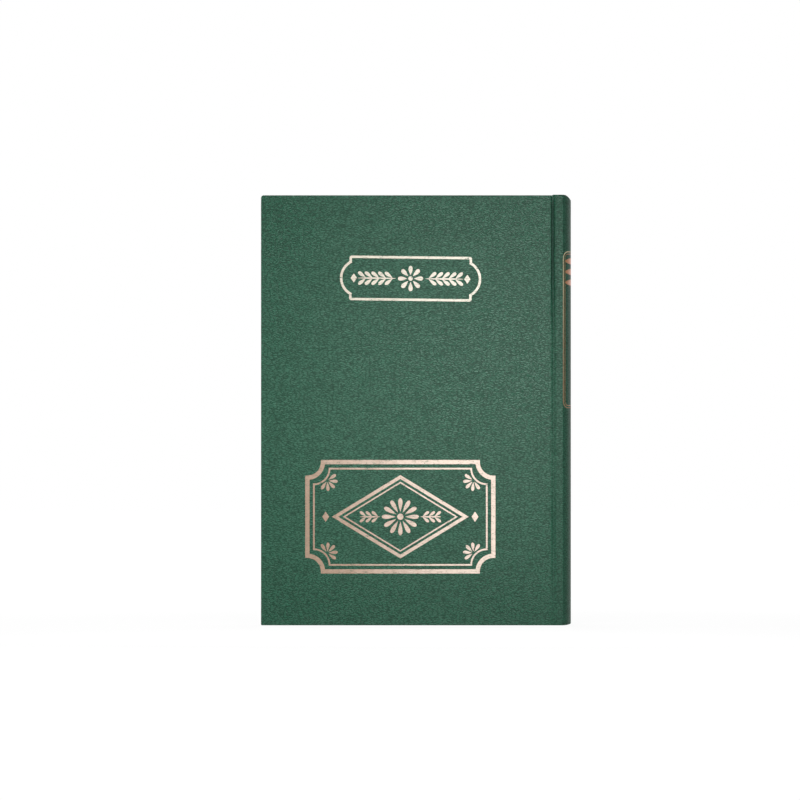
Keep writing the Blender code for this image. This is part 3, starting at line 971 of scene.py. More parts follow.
petals(
    "title_rosette", TITLE_PLACE, (0, 0), count=8, start=0, step=45,
    inner=2.3, length=6.6, width=4.2, mat=cream_foil,
)
laurel("title_laurel", TITLE_PLACE, start=12.4, count=5, stride=4.7, length=6.8, width=3.4, mat=cream_foil)
rules_bm = bmesh.new()
draw_shape(rules_bm, disc(1.6), TITLE_PLACE)
for way in (-1, 1):
    draw_shape(rules_bm, swelled_rule(way * 10.6, way * 37.0, thick=0.9), TITLE_PLACE)
    draw_shape(rules_bm, lozenge((way * 40.0, 0), half_u=2.2, half_v=3.2), TITLE_PLACE)
title_rules = ride_cover(add_piece("title_rules", rules_bm, [cream_foil]))
print("title ornament:", triangles(title_rules), "triangles in its rules and lozenges")

# %% [markdown]
# ## The lower panel
#
# The lower cover carries a panel in rose foil. It is set out as a traditional one: a frame with scooped
# corners and a fine line inside it, a fan of petals in each corner, and a lozenge in the middle with a
# rosette and laurel. The main lines are two to three millimetres wide, which a hand press can strike
# evenly, and the fine ones inside them about one.

# %% Lower panel: frames and lozenge
PANEL_PLACE = on_cover(PANEL_X, PANEL_Z)
PANEL_HALF = (65.5, 38.5)
SCOOP = 11.0
FINE_INSET = 4.6
FAN_INSET = (14.0, 13.0)
FAN_PETALS, FAN_STEP = 5, 40


def scooped(half_u, half_v, radius):
    """Upper right quarter of a rectangle with a scooped corner."""
    return [(0.0, half_v)] + arc_points((half_u, half_v), radius, 180, 270, 12)


panel_bm = bmesh.new()
for outline, width in (
    (mirrored(scooped(*PANEL_HALF, SCOOP)), 3.0),
    (mirrored(scooped(*[half - FINE_INSET for half in PANEL_HALF], SCOOP)), 1.2),
    (lozenge((0, 0), 46.0, 28.0), 2.3),
    (lozenge((0, 0), 39.6, 24.1), 1.0),
):
    draw_line(panel_bm, outline, width, PANEL_PLACE)
for way in (-1, 1):
    draw_shape(panel_bm, swelled_rule(way * 14.4, way * 28.5, thick=0.9), PANEL_PLACE)
    draw_shape(panel_bm, lozenge((way * 52.6, 0), half_u=2.4, half_v=3.6), PANEL_PLACE)
draw_shape(panel_bm, disc(2.2), PANEL_PLACE)
panel_frame = ride_cover(add_piece("panel_frame", panel_bm, [rose_foil]))

petals(
    "panel_rosette", PANEL_PLACE, (0, 0), count=12, start=0, step=30,
    inner=3.3, length=9.8, width=4.2, mat=rose_foil,
)
laurel("panel_laurel", PANEL_PLACE, start=15.4, count=3, stride=4.2, length=5.6, width=2.8, mat=rose_foil)
for k, (way_u, way_v) in enumerate(((1, 1), (-1, 1), (-1, -1), (1, -1))):
    spot = (way_u * (PANEL_HALF[0] - FAN_INSET[0]), way_v * (PANEL_HALF[1] - FAN_INSET[1]))
    inwards = math.degrees(math.atan2(-way_v, -way_u))
    petals(
        "panel_corner_%d" % (k + 1), PANEL_PLACE, spot, count=FAN_PETALS, step=FAN_STEP,
        start=inwards - FAN_STEP * (FAN_PETALS - 1) / 2, inner=1.0, length=6.4, width=3.2, mat=rose_foil,
    )
print("panel:", triangles(panel_frame), "triangles in its lines and lozenges")

# %% [markdown]
# ## The spine's frame and marks
#
# A double line with round corners, gold outside and copper inside, frames the upper spine, and three
# copper marks sit at its head. The lines are drawn in many short lengths so that they bend with the round.
# The marks are a Geometry Nodes row: one oval, pressed from a square grid that is fine enough to bend, set
# out in steps and wrapped round the arc by formula.

# %% Spine frame
FRAME_TOP, FRAME_LOW = 263.5 * MM, 153.0 * MM
FRAME_FROM_CREASE = math.radians(0.3)
FRAME_HALF_U = SPINE_RADIUS * (CREASE_ANGLE - FRAME_FROM_CREASE) / MM
FRAME_HALF_V = (FRAME_TOP - FRAME_LOW) / 2 / MM
FRAME_CORNER = 5.0
FRAME_STEPS = 16


def rounded_frame(inset):
    half_u, half_v = FRAME_HALF_U - inset, FRAME_HALF_V - inset
    radius = max(FRAME_CORNER - inset, 1.0)
    steps = [half_u * i / FRAME_STEPS for i in range(FRAME_STEPS)]
    points = [(u, half_v) for u in steps if u < half_u - radius]
    return mirrored(points + arc_points((half_u - radius, half_v - radius), radius, 90, 0, 12))


for name, inset, width, mat in (("outer", 0.3, 0.5, spine_foil), ("inner", 1.9, 0.45, copper_foil)):
    frame_bm = bmesh.new()
    draw_line(frame_bm, rounded_frame(inset), width, on_spine((FRAME_TOP + FRAME_LOW) / 2))
    spine_frame = add_piece("spine_frame_" + name, frame_bm, [mat])
    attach(spine_frame, "text_block")
    print(spine_frame.name + ":", triangles(spine_frame), "triangles")

# %% Geometry nodes: marks round the spine
MARK_GRID = 17


def spine_mark_tree():
    tree, wires, given, result = new_group(
        "Spine marks",
        "GeometryNodeTree",
        [
            ("Marks", INTEGER, 3), ("Top", FLOAT, 0.257), ("Step", FLOAT, 0.0075), ("Width", FLOAT, 0.02),
            ("Height", FLOAT, 0.005), ("Film", FLOAT, 0.00006), ("Radius", FLOAT, 0.016),
            ("Centre X", FLOAT, 0.09), ("Foil", MATERIAL, None),
        ],
        [("Geometry", GEOMETRY)],
    )
    tile = wires.add(
        "GeometryNodeMeshCube",
        {
            "Size": wires.xyz(2.0, given["Film"], 2.0),
            "Vertices X": MARK_GRID, "Vertices Y": 2, "Vertices Z": MARK_GRID,
        },
    )
    across, through, up = current_place(wires)

    def pulled_in(value):
        return wires.math("SQRT", wires.math("MULTIPLY_ADD", wires.product(value, value), -0.5, 1.0))

    oval = wires.xyz(
        wires.product(across, pulled_in(up), given["Width"], 0.5), through,
        wires.product(up, pulled_in(across), given["Height"], 0.5),
    )
    sized = moved(wires, tile.outputs["Mesh"], oval)
    row = wires.add(
        "GeometryNodeMeshLine",
        {
            "Count": given["Marks"],
            "Start Location": wires.xyz(0.0, 0.0, given["Top"]),
            "Offset": wires.xyz(0.0, 0.0, wires.product(given["Step"], -1.0)),
        },
    )
    set_out = realised(wires, copied(wires, row.outputs[0], sized))
    along, lift, height = current_place(wires)
    radius = wires.math("SUBTRACT", given["Radius"], lift)
    turn = wires.math("DIVIDE", along, given["Radius"])
    x = wires.math("MULTIPLY_ADD", radius, wires.math("COSINE", turn), given["Centre X"])
    y = wires.product(radius, wires.math("SINE", turn))
    bent = moved(wires, set_out, wires.xyz(x, y, height))
    wires.feed(result["Geometry"], made_of(wires, bent, given["Foil"]))
    return tree


MARKS_TOP, MARKS_STEP = 256.6 * MM, 7.5 * MM
spine_marks = grow("spine_marks", spine_mark_tree(), {
    "Marks": 3, "Top": MARKS_TOP, "Step": MARKS_STEP, "Width": 23.6 * MM, "Height": 4.6 * MM,
    "Film": FILM + SINK, "Radius": SPINE_RADIUS, "Centre X": SPINE_CENTRE_X, "Foil": copper_foil,
})
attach(spine_marks, "text_block")
print("spine marks:", triangles(spine_marks), "triangles")

# %% [markdown]
# ## Ledger paper
#
# A ledger's leaves are smooth cream paper, ruled in pale blue with red money columns. The ruling is part
# of the material, because ink has no thickness; a small group answers how near a point is to a line. The
# cut edges of the leaves get their own material without ruling, a little darker, as trimmed edges are.

# %% Node group: ruled line
INK_EDGE = (0.7, 1.2)


def ruling_group():
    group, wires, given, result = new_group(
        "Ruled line",
        "ShaderNodeTree",
        [("Place", FLOAT, 0.0), ("Line", FLOAT, 0.0), ("Pitch", FLOAT, 0.008), ("Width", FLOAT, 0.0003)],
        [("Ink", FLOAT)],
    )
    steps = wires.math("DIVIDE", wires.math("SUBTRACT", given["Place"], given["Line"]), given["Pitch"])
    off = wires.math("ABSOLUTE", wires.math("SUBTRACT", steps, wires.math("ROUND", steps)))
    near = wires.math("DIVIDE", wires.product(off, given["Pitch"], 2.0), given["Width"])
    wires.feed(result["Ink"], wires.ramp(near, *INK_EDGE, 1.0, 0.0))
    return group


ruled_line = ruling_group()
print("group:", ruled_line.name)

# %% Materials: ledger paper and endpaper
# A pitch far longer than the page gives a single line
ONCE = 10.0
LINE_PITCH = 8.0 * MM
HEAD_RULE = LEAF_TOP - 36.0 * MM
HEAD_BAND = 12.0 * MM
FOOT_MARGIN = 14.0 * MM
FINE_RULE, STRONG_RULE = 0.35 * MM, 0.5 * MM
FINE_INK, STRONG_INK = 0.75, 0.8
DOUBLE_RULE = 1.0 * MM
ROW_FADE, COLUMN_FADE = 0.5 * MM, 0.3 * MM
# Millimetres from the fore edge of the cover
COLUMN_RULES = (22.0, 24.0, 48.0, 118.0, 120.0, 145.0, 147.0, 172.0, 174.0)
BLUE_INK = (0.34, 0.46, 0.60, 1.0)
RED_INK = (0.62, 0.24, 0.24, 1.0)
PAPER = (0.80, 0.77, 0.68, 1.0)
PAPER_SHADE = (0.73, 0.70, 0.61, 1.0)
FIBRE_TONES = (0.3, 0.7)


def paper_colour(wires, place, pale, shade, fibre=900.0, cloud=40.0):
    """Mottled paper colour, and the height of its fibres."""
    stock = use_group(wires, paper_fibre, {"Vector": place, "Fibre": fibre, "Cloud": cloud})
    return wires.mix(wires.ramp(stock["Tone"], *FIBRE_TONES), shade, pale), stock["Height"]


def ink(wires, place, line, width, pitch=ONCE):
    """How much ink a point has from a line, or from a row of lines a pitch apart."""
    sizes = {"Place": place, "Line": line, "Pitch": pitch, "Width": width}
    return use_group(wires, ruled_line, sizes)["Ink"]


def ruled_paper():
    mat, wires, shader = start_material("ruled_paper", 0.8)
    place = rest_place(wires)
    colour, fibre = paper_colour(wires, place, PAPER, PAPER_SHADE)
    across, _, up = wires.split(place)
    writing = wires.product(
        wires.ramp(up, HEAD_RULE - ROW_FADE, HEAD_RULE, 1.0, 0.0),
        wires.ramp(up, LEAF_BOTTOM + FOOT_MARGIN, LEAF_BOTTOM + FOOT_MARGIN + ROW_FADE),
    )
    rows = ink(wires, up, HEAD_RULE, FINE_RULE, LINE_PITCH)
    colour = wires.mix(wires.product(rows, writing, FINE_INK), colour, BLUE_INK)
    for above in (0.0, DOUBLE_RULE, HEAD_BAND):
        head = ink(wires, up, HEAD_RULE + above, STRONG_RULE)
        colour = wires.mix(wires.product(head, STRONG_INK), colour, RED_INK)
    below = wires.ramp(up, HEAD_RULE + HEAD_BAND, HEAD_RULE + HEAD_BAND + COLUMN_FADE, 1.0, 0.0)
    for start in COLUMN_RULES:
        column = ink(wires, across, FORE_X + start * MM, FINE_RULE)
        colour = wires.mix(wires.product(column, below, FINE_INK), colour, RED_INK)
    wires.feed(shader["Base Color"], colour)
    wires.feed(shader["Normal"], bump(wires, fibre, strength=0.1, distance=0.02 * MM))
    return mat


def plain_paper(name, pale, shade, fibre=900.0):
    mat, wires, shader = start_material(name, 0.85)
    colour, height = paper_colour(wires, rest_place(wires), pale, shade, fibre)
    wires.feed(shader["Base Color"], colour)
    wires.feed(shader["Normal"], bump(wires, height, strength=0.15, distance=0.03 * MM))
    return mat


page_face = ruled_paper()
page_edge = plain_paper("page_edge", pale=(0.78, 0.74, 0.64, 1.0), shade=(0.66, 0.62, 0.52, 1.0))
endpaper = plain_paper("endpaper", pale=(0.76, 0.73, 0.66, 1.0), shade=(0.68, 0.65, 0.57, 1.0), fibre=700.0)
print("papers:", page_face.name, page_edge.name, endpaper.name)

# %% [markdown]
# ## The sewn leaves
#
# The block is made of folded sections. Backing spreads the folds over the joints like a fan, so each
# leaf leaves its fold at its own angle and straightens towards the fore edge, which rounding has drawn
# into a hollow. That is a rule, so Geometry Nodes can make it: a thin box for a leaf, copied to each
# depth in the block, and every point then moved by one formula, a curve from the flat of the page to the
# leaf's own place on the arc of the back. The curve comes first, and then the tree that uses it.

# %% Geometry nodes: the curve of a leaf
LEAF_COLUMNS = 13
FLAT_SHARE = 2 / (LEAF_COLUMNS - 1)
LEAVE_SHARE, ARRIVE_SHARE = 0.45, 0.40


def noted(wires, geometry, label, value, domain):
    """Store a number on faces or instances, to be read further on."""
    inputs = {"Geometry": geometry, "Name": label, "Value": value}
    settings = {"data_type": "FLOAT", "domain": domain}
    return wires.add("GeometryNodeStoreNamedAttribute", inputs, **settings).outputs[0]


def recalled(wires, label):
    return wires.add("GeometryNodeInputNamedAttribute", {"Name": label}, data_type="FLOAT").outputs[0]


def fold_place(wires, given, deep, share):
    """Where a leaf's fold lies on the arc of the back, and the cosine and sine of its turn."""
    turn = wires.product(share, given["Fold Angle"])
    cosine, sine = wires.math("COSINE", turn), wires.math("SINE", turn)
    span = wires.product(given["Leaves"], given["Leaf Pitch"])
    within = wires.math("DIVIDE", wires.math("SUBTRACT", deep, recalled(wires, "middle")), span)
    bulge = wires.product(wires.math("COSINE", wires.product(within, math.pi)), given["Fold Bulge"])
    radius = wires.total(given["Fold Radius"], bulge)
    x = wires.math("MULTIPLY_ADD", radius, cosine, given["Centre X"])
    return x, wires.product(radius, sine), cosine, sine


def leaf_place(wires, given):
    """Flat from the fore edge to the stub, then on a smooth curve to the leaf's own fold."""
    along, deep, z = current_place(wires)
    flat = wires.math("MINIMUM", wires.math("DIVIDE", along, FLAT_SHARE), 1.0)
    past_flat = wires.math("DIVIDE", wires.math("SUBTRACT", along, FLAT_SHARE), 1 - FLAT_SHARE)
    t = wires.math("MAXIMUM", past_flat, 0.0)
    share = wires.math("DIVIDE", deep, given["Block Half"])
    hollow = wires.product(wires.math("SUBTRACT", 1.0, wires.product(share, share)), given["Hollow"])
    fore = wires.total(given["Fore X"], hollow, recalled(wires, "slip"))
    page_x = wires.math("MULTIPLY_ADD", wires.math("SUBTRACT", given["Stub X"], fore), flat, fore)
    fold_x, fold_y, cosine, sine = fold_place(wires, given, deep, share)
    gap_x = wires.math("SUBTRACT", fold_x, given["Stub X"])
    gap_y = wires.math("SUBTRACT", fold_y, deep)
    reach = wires.math("SQRT", wires.total(wires.product(gap_x, gap_x), wires.product(gap_y, gap_y)))
    leave_x = wires.math("MULTIPLY_ADD", reach, LEAVE_SHARE, given["Stub X"])
    arrive = wires.product(reach, -ARRIVE_SHARE)
    arrive_x = wires.math("MULTIPLY_ADD", arrive, cosine, fold_x)
    arrive_y = wires.math("MULTIPLY_ADD", arrive, sine, fold_y)
    # Weights of the four points of a cubic curve
    rest_of = wires.math("SUBTRACT", 1.0, t)
    first = wires.product(rest_of, rest_of, rest_of)
    second = wires.product(3.0, t, rest_of, rest_of)
    third = wires.product(3.0, t, t, rest_of)
    fourth = wires.product(t, t, t)
    x = wires.total(
        page_x, wires.product(wires.math("SUBTRACT", first, 1.0), given["Stub X"]),
        wires.product(second, leave_x), wires.product(third, arrive_x), wires.product(fourth, fold_x),
    )
    y = wires.total(
        wires.product(wires.total(first, second), deep), wires.product(third, arrive_y),
        wires.product(fourth, fold_y),
    )
    return wires.xyz(x, y, z)


print("each leaf has", LEAF_COLUMNS, "columns of points")

# %% Geometry nodes: leaves of the sewn block
JOG_SEED = 7


def leaf_depths(wires, given, index):
    """Depth of each leaf in the block, and of the middle of its section."""
    section = wires.math("FLOOR", wires.math("DIVIDE", wires.total(index, 0.5), given["Leaves"]))
    leaf = wires.math("SUBTRACT", index, wires.product(section, given["Leaves"]))
    half_sections = wires.math("MULTIPLY_ADD", given["Sections"], 0.5, -0.5)
    half_leaves = wires.math("MULTIPLY_ADD", given["Leaves"], 0.5, -0.5)
    middle = wires.product(wires.math("SUBTRACT", section, half_sections), given["Pitch"])
    middle = wires.total(middle, given["Middle"])
    from_middle = wires.math("SUBTRACT", leaf, half_leaves)
    return wires.math("MULTIPLY_ADD", from_middle, given["Leaf Pitch"], middle), middle


def leaf_sheet(wires, given):
    """A thin box for one leaf, one unit wide, with its pages told apart from its edges."""
    size = wires.xyz(1.0, given["Thickness"], given["Height"])
    counts = {"Vertices X": LEAF_COLUMNS, "Vertices Y": 2, "Vertices Z": 2}
    box = wires.add("GeometryNodeMeshCube", {"Size": size, **counts}).outputs["Mesh"]
    lift = wires.math("MULTIPLY_ADD", given["Height"], 0.5, given["Bottom"])
    inputs = {"Geometry": box, "Translation": wires.xyz(0.5, 0.0, lift)}
    sheet = wires.add("GeometryNodeTransform", inputs).outputs[0]
    facing = wires.math("ABSOLUTE", wires.split(wires.add("GeometryNodeInputNormal").outputs[0])[1])
    return noted(wires, sheet, "page", facing, "FACE")


def sewn_leaf_tree():
    tree, wires, given, result = new_group(
        "Sewn leaves",
        "GeometryNodeTree",
        [
            ("Sections", INTEGER, 11), ("Leaves", INTEGER, 8), ("Middle", FLOAT, 0.0),
            ("Pitch", FLOAT, 0.00138), ("Leaf Pitch", FLOAT, 0.00016), ("Thickness", FLOAT, 0.00013),
            ("Bottom", FLOAT, 0.003), ("Height", FLOAT, 0.297), ("Fore X", FLOAT, -0.106),
            ("Hollow", FLOAT, 0.004), ("Jog", FLOAT, 0.0002), ("Block Half", FLOAT, 0.009),
            ("Stub X", FLOAT, 0.0948), ("Centre X", FLOAT, 0.093), ("Fold Radius", FLOAT, 0.0124),
            ("Fold Bulge", FLOAT, 0.0004), ("Fold Angle", FLOAT, 1.19), ("Face", MATERIAL, None),
            ("Edge", MATERIAL, None),
        ],
        [("Geometry", GEOMETRY)],
    )
    index = wires.add("GeometryNodeInputIndex").outputs[0]
    depth, middle = leaf_depths(wires, given, index)
    count = wires.product(given["Sections"], given["Leaves"])
    points = wires.add("GeometryNodePoints", {"Count": count}).outputs[0]
    copies = copied(wires, moved(wires, points, wires.xyz(0.0, depth, 0.0)), leaf_sheet(wires, given))
    chance = wires.add("FunctionNodeRandomValue", {"Seed": JOG_SEED}, data_type="FLOAT")
    slip = wires.product(wires.math("SUBTRACT", chance.outputs[1], 0.5), given["Jog"])
    for label, value in (("slip", slip), ("middle", middle)):
        copies = noted(wires, copies, label, value, "INSTANCE")
    bent = moved(wires, realised(wires, copies), leaf_place(wires, given))
    edged = made_of(wires, bent, given["Edge"])
    is_page = wires.math("GREATER_THAN", recalled(wires, "page"), 0.5)
    wires.feed(result["Geometry"], made_of(wires, edged, given["Face"], is_page))
    return tree


sewn_leaves = sewn_leaf_tree()
print("tree:", sewn_leaves.name, "with", len(sewn_leaves.nodes), "nodes")

# %% [markdown]
# ## Sections and bound margins
#
# The tree runs three times. The first run makes every leaf of the sewn sections. The other two make the
# folds of the loose leaves under each cover, the part that stays in the back when the leaves turn.

# %% Sections and bound margins
SECTION_COUNT = 11
SECTION_PITCH = 1.38 * MM
LEAVES, LOOSE_LEAVES = 8, 7
LEAF_PITCH, LOOSE_PITCH = 0.162 * MM, 0.2 * MM
LEAF_THICK, LOOSE_THICK = 0.145 * MM, 0.17 * MM
FORE_HOLLOW = 4.0 * MM
LEAF_JOG = 0.25 * MM
BLOCK_HALF = -flyleaf_low.y
SEWN_HALF = SECTION_COUNT * SECTION_PITCH / 2
STUB_X = LEAF_END_X + 0.3 * MM
FOLD_RADIUS = SPINE_RADIUS - 3.7 * MM
FOLD_BULGE = 0.4 * MM
UNDER_CLOTH = 0.55 * MM
FOLD_ANGLE = math.asin((FACE - UNDER_CLOTH) / (FOLD_RADIUS + FOLD_BULGE))
BACK_OF_BLOCK = {
    "Bottom": LEAF_BOTTOM, "Height": LEAF_TOP - LEAF_BOTTOM, "Block Half": BLOCK_HALF, "Stub X": STUB_X,
    "Centre X": SPINE_CENTRE_X, "Fold Radius": FOLD_RADIUS, "Fold Bulge": FOLD_BULGE,
    "Fold Angle": FOLD_ANGLE, "Face": page_face, "Edge": page_edge,
}

section_leaves = grow("section_leaves", sewn_leaves, {
    **BACK_OF_BLOCK, "Sections": SECTION_COUNT, "Leaves": LEAVES, "Middle": 0.0, "Pitch": SECTION_PITCH,
    "Leaf Pitch": LEAF_PITCH, "Thickness": LEAF_THICK, "Fore X": FORE_X + SQUARE, "Hollow": FORE_HOLLOW,
    "Jog": LEAF_JOG,
})
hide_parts(*["section_%02d" % (i + 1) for i in range(SECTION_COUNT)])
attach(section_leaves, "text_block")
print("section leaves:", triangles(section_leaves), "triangles")

for label, side in SIDES:
    margin = grow(label + "_leaf_folds", sewn_leaves, {
        **BACK_OF_BLOCK, "Sections": 1, "Leaves": LOOSE_LEAVES, "Middle": side * (SEWN_HALF + BLOCK_HALF) / 2,
        "Leaf Pitch": LOOSE_PITCH, "Thickness": LOOSE_THICK, "Fore X": LEAF_END_X, "Hollow": 0.0, "Jog": 0.0,
    })
    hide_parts(label + "_bound_margin")
    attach(margin, "text_block")
    print(label, "folds:", triangles(margin), "triangles")

# %% [markdown]
# ## Loose leaves and flyleaves
#
# In the book the outer leaves turn one by one, so each is built as a sheet of its own, with close columns
# near the back.

# %% Leaves that turn
GUTTER_START = STUB_X + 0.3 * MM
GUTTER_END = STUB_X - 15.0 * MM
GUTTER_COLUMNS = 22
PAGE_COLUMNS = 8
LEAF_SLACK = 0.08
TURNING_LEAVES = 6


def even_steps(start, stop, count):
    """Places from a start to a stop in even steps, the start left out."""
    return [start + (stop - start) * i / count for i in range(1, count + 1)]


def build_leaf(name, mats):
    low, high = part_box(name)
    slack = (high.y - low.y) * LEAF_SLACK
    front, back = low.y + slack, high.y - slack
    columns = [GUTTER_START] + even_steps(GUTTER_START, GUTTER_END, GUTTER_COLUMNS)
    columns += even_steps(GUTTER_END, low.x, PAGE_COLUMNS)
    corners = ((front, low.z), (back, low.z), (back, high.z), (front, high.z))
    bm = loft([[(x, y, z) for y, z in corners] for x in columns])
    bmesh.ops.recalc_face_normals(bm, faces=bm.faces)
    for face in bm.faces:
        face.material_index = 0 if abs(face.normal.y) > 0.5 else 1
    leaf = add_piece(name + "_sheet", bm, mats)
    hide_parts(name)
    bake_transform(leaf)
    return leaf


leaf_total = 0
for label, _ in SIDES:
    flyleaf = build_leaf(label + "_flyleaf", [endpaper, endpaper])
    for number in range(1, TURNING_LEAVES + 1):
        name = "%s_leaf_%d" % (label, number)
        leaf = build_leaf(name, [page_face, page_edge])
        leaf_total += 1
print("loose leaves:", leaf_total, "and two flyleaves")

# %% [markdown]
# ## Endpapers
#
# One folded sheet joins the block to each board. Half of it is pasted down inside the cover, where the
# edges of the turn-ins show through as a soft ridge; the other half is the flyleaf. The strip between
# them crosses the joint.

# %% Pastedowns and endpaper joints
PASTE_SINK = 0.12 * MM
RIDGE = 1.6 * MM
RIDGE_START = TURN_IN - SQUARE
PASTE_GAP = 0.02 * MM
HINGE_STEPS = 16
HINGE_PAPER = 0.12 * MM
HINGE_GAP = 0.03 * MM
# Millimetres past the pastedown's edge, and outwards from its page
HINGE_PATH = ((-2.5, 0.0), (0.0, 0.0), (1.2, 0.45), (2.1, 1.5), (2.55, 2.4))


def page_level(low, high, side):
    """How far the open face of a pastedown is from the middle of the book."""
    return abs(high.y) if side < 0 else abs(low.y)


def build_pastedown(label, side):
    low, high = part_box(label + "_pastedown")
    page = page_level(low, high, side)
    base = FACE - COVER_DEPTH - PASTE_GAP
    levels = ((0.0, base), (0.0, page), (RIDGE_START, page), (RIDGE_START + RIDGE, page + PASTE_SINK))
    loops = []
    for inset, level in levels:
        left, right, tail, head = low.x + inset, high.x - inset, low.z + inset, high.z - inset
        corners = ((left, tail), (right, tail), (right, head), (left, head))
        loops.append([(x, side * level, z) for x, z in corners])
    sheet = add_piece(label + "_pastedown_sheet", loft(loops), [endpaper], sharp=60)
    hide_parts(label + "_pastedown")
    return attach(sheet, label + "_cover")


def build_endpaper_joint(label, side):
    """Strip from under the pastedown's edge across the joint and up the flank of the back."""
    low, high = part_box(label + "_pastedown")
    page = page_level(low, high, side) + HINGE_GAP
    path = [Vector((high.x + past * MM, page + out * MM)) for past, out in HINGE_PATH]
    corners = ((0.0, LEAF_BOTTOM), (HINGE_PAPER, LEAF_BOTTOM), (HINGE_PAPER, LEAF_TOP), (0.0, LEAF_TOP))
    loops = []
    for step in range(HINGE_STEPS + 1):
        place = step / HINGE_STEPS * (len(path) - 1)
        k = min(int(place), len(path) - 2)
        x, level = path[k].lerp(path[k + 1], place - k)
        loops.append([(x, side * (level + lift), z) for lift, z in corners])
    strip = add_piece(label + "_endpaper_joint", loft(loops), [endpaper])
    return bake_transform(strip)


for label, side in SIDES:
    build_pastedown(label, side)
    build_endpaper_joint(label, side)
    print(label, "endpapers laid")

# %% [markdown]
# ## Head and tail bands
#
# A small striped bead closes the back at head and tail. It is silk wound round a cord, two turns of red
# and two of cream. Geometry Nodes wind it: points along the arc of the back, one ring of thread at each,
# turned to face along the arc. The solid bead stays inside as the cord.

# %% Materials: silk and tape
SILK_RED = (0.40, 0.045, 0.045, 1.0)
SILK_CREAM = (0.74, 0.68, 0.52, 1.0)
SILK_SHADE = (0.1, 0.05, 0.04, 1.0)
TWIST_SCALE = 2600.0
TWIST_TONES = (0.2, 0.9)
TWIST_DARK = 0.35


def band_silk():
    mat, wires, shader = start_material("band_silk", 0.45)
    twist = wires.noise(rest_place(wires), TWIST_SCALE)
    colour = wires.mix(point_value(wires, "strand"), SILK_RED, SILK_CREAM)
    shade = wires.ramp(twist, *TWIST_TONES, TWIST_DARK, 0.0)
    wires.feed(shader["Base Color"], wires.mix(shade, colour, SILK_SHADE))
    wires.feed(shader["Normal"], bump(wires, twist, strength=0.3, distance=0.05 * MM))
    return mat


def object_place(wires):
    return wires.add("ShaderNodeTexCoord").outputs["Object"]


def woven(name, thread, gap, threads):
    mat, wires, shader = start_material(name, 0.9)
    x, y, z = wires.split(object_place(wires))
    weave = use_group(wires, plain_weave, {"Along": z, "Across": wires.total(x, y), "Threads": threads})
    wires.feed(shader["Base Color"], wires.mix(weave["Thread"], gap, thread))
    wires.feed(shader["Normal"], bump(wires, weave["Height"], strength=0.5, distance=0.1 * MM))
    return mat


silk = band_silk()
band_tape = woven("band_tape", thread=(0.70, 0.65, 0.53, 1.0), gap=(0.42, 0.38, 0.30, 1.0), threads=2200.0)
print("materials:", silk.name, band_tape.name)

# %% Geometry nodes: wound bands
RING_POINTS, STRAND_POINTS = 14, 6


def circle(wires, points, radius):
    inputs = {"Resolution": points, "Radius": radius}
    return wires.add("GeometryNodeCurvePrimitiveCircle", inputs).outputs["Curve"]


def wound_band_tree():
    tree, wires, given, result = new_group(
        "Wound band",
        "GeometryNodeTree",
        [
            ("Turns", INTEGER, 72), ("Arc", FLOAT, 0.013), ("Reach", FLOAT, 1.0), ("Centre X", FLOAT, 0.093),
            ("Level", FLOAT, 0.3), ("Core", FLOAT, 0.0007), ("Thread", FLOAT, 0.00018),
            ("Silk", MATERIAL, None),
        ],
        [("Geometry", GEOMETRY)],
    )
    points = wires.add("GeometryNodePoints", {"Count": given["Turns"]}).outputs[0]
    index = wires.add("GeometryNodeInputIndex").outputs[0]
    last = wires.math("SUBTRACT", given["Turns"], 1.0)
    share = wires.math("MULTIPLY_ADD", wires.math("DIVIDE", index, last), 2.0, -1.0)
    turn = wires.product(share, given["Reach"])
    x = wires.math("MULTIPLY_ADD", given["Arc"], wires.math("COSINE", turn), given["Centre X"])
    y = wires.product(given["Arc"], wires.math("SINE", turn))
    laid = moved(wires, points, wires.xyz(x, y, given["Level"]))
    ring = circle(wires, RING_POINTS, given["Core"])
    strand = circle(wires, STRAND_POINTS, given["Thread"])
    hoop = wires.add("GeometryNodeCurveToMesh", {"Curve": ring, "Profile Curve": strand}).outputs["Mesh"]
    wound = copied(wires, laid, hoop, turned(wires, math.pi / 2, 0.0, turn))
    pair = wires.math("FLOOR", wires.product(wires.total(index, 0.5), 0.5))
    striped = noted(wires, wound, "strand", wires.math("MODULO", pair, 2.0), "INSTANCE")
    wires.feed(result["Geometry"], made_of(wires, realised(wires, striped), given["Silk"]))
    return tree


BAND_TURNS = 76
BAND_RADIUS = 0.75 * MM
BAND_REACH = 0.575 * MM
BAND_CORE, BAND_THREAD = 0.70 * MM, 0.19 * MM
BAND_END = 0.012
wound_band = wound_band_tree()
for name in ("headband", "tailband"):
    low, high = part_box(name)
    level = high.z - BAND_RADIUS if name == "headband" else low.z + BAND_RADIUS
    arc = high.x - SPINE_CENTRE_X - BAND_REACH
    band = grow(name + "_silk", wound_band, {
        "Turns": BAND_TURNS, "Arc": arc, "Reach": math.asin(high.y / (arc + BAND_REACH)) - BAND_END,
        "Centre X": SPINE_CENTRE_X, "Level": level, "Core": BAND_CORE, "Thread": BAND_THREAD, "Silk": silk,
    })
    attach(band, "text_block")
    print(name, "silk:", triangles(band), "triangles")

# %% [markdown]
# ## What is inside
#
# Boards, spine card, kraft, mull, its wings, the sewing and the cords of the bands are right as solids and
# mostly hidden, so they stay and get finishes. Each is a short recipe on the shared groups, in the
# object's own coordinates, because none of them bends.

# %% Finishes for the inner pieces
BOARD_CLOUD = 120.0
SEWING_THREADS = 5


def board_stock(name, pale, shade, fibre, relief=0.35):
    mat, wires, shader = start_material(name, 0.9)
    colour, height = paper_colour(wires, object_place(wires), pale, shade, fibre, BOARD_CLOUD)
    wires.feed(shader["Base Color"], colour)
    wires.feed(shader["Normal"], bump(wires, height, strength=relief, distance=0.06 * MM))
    return mat


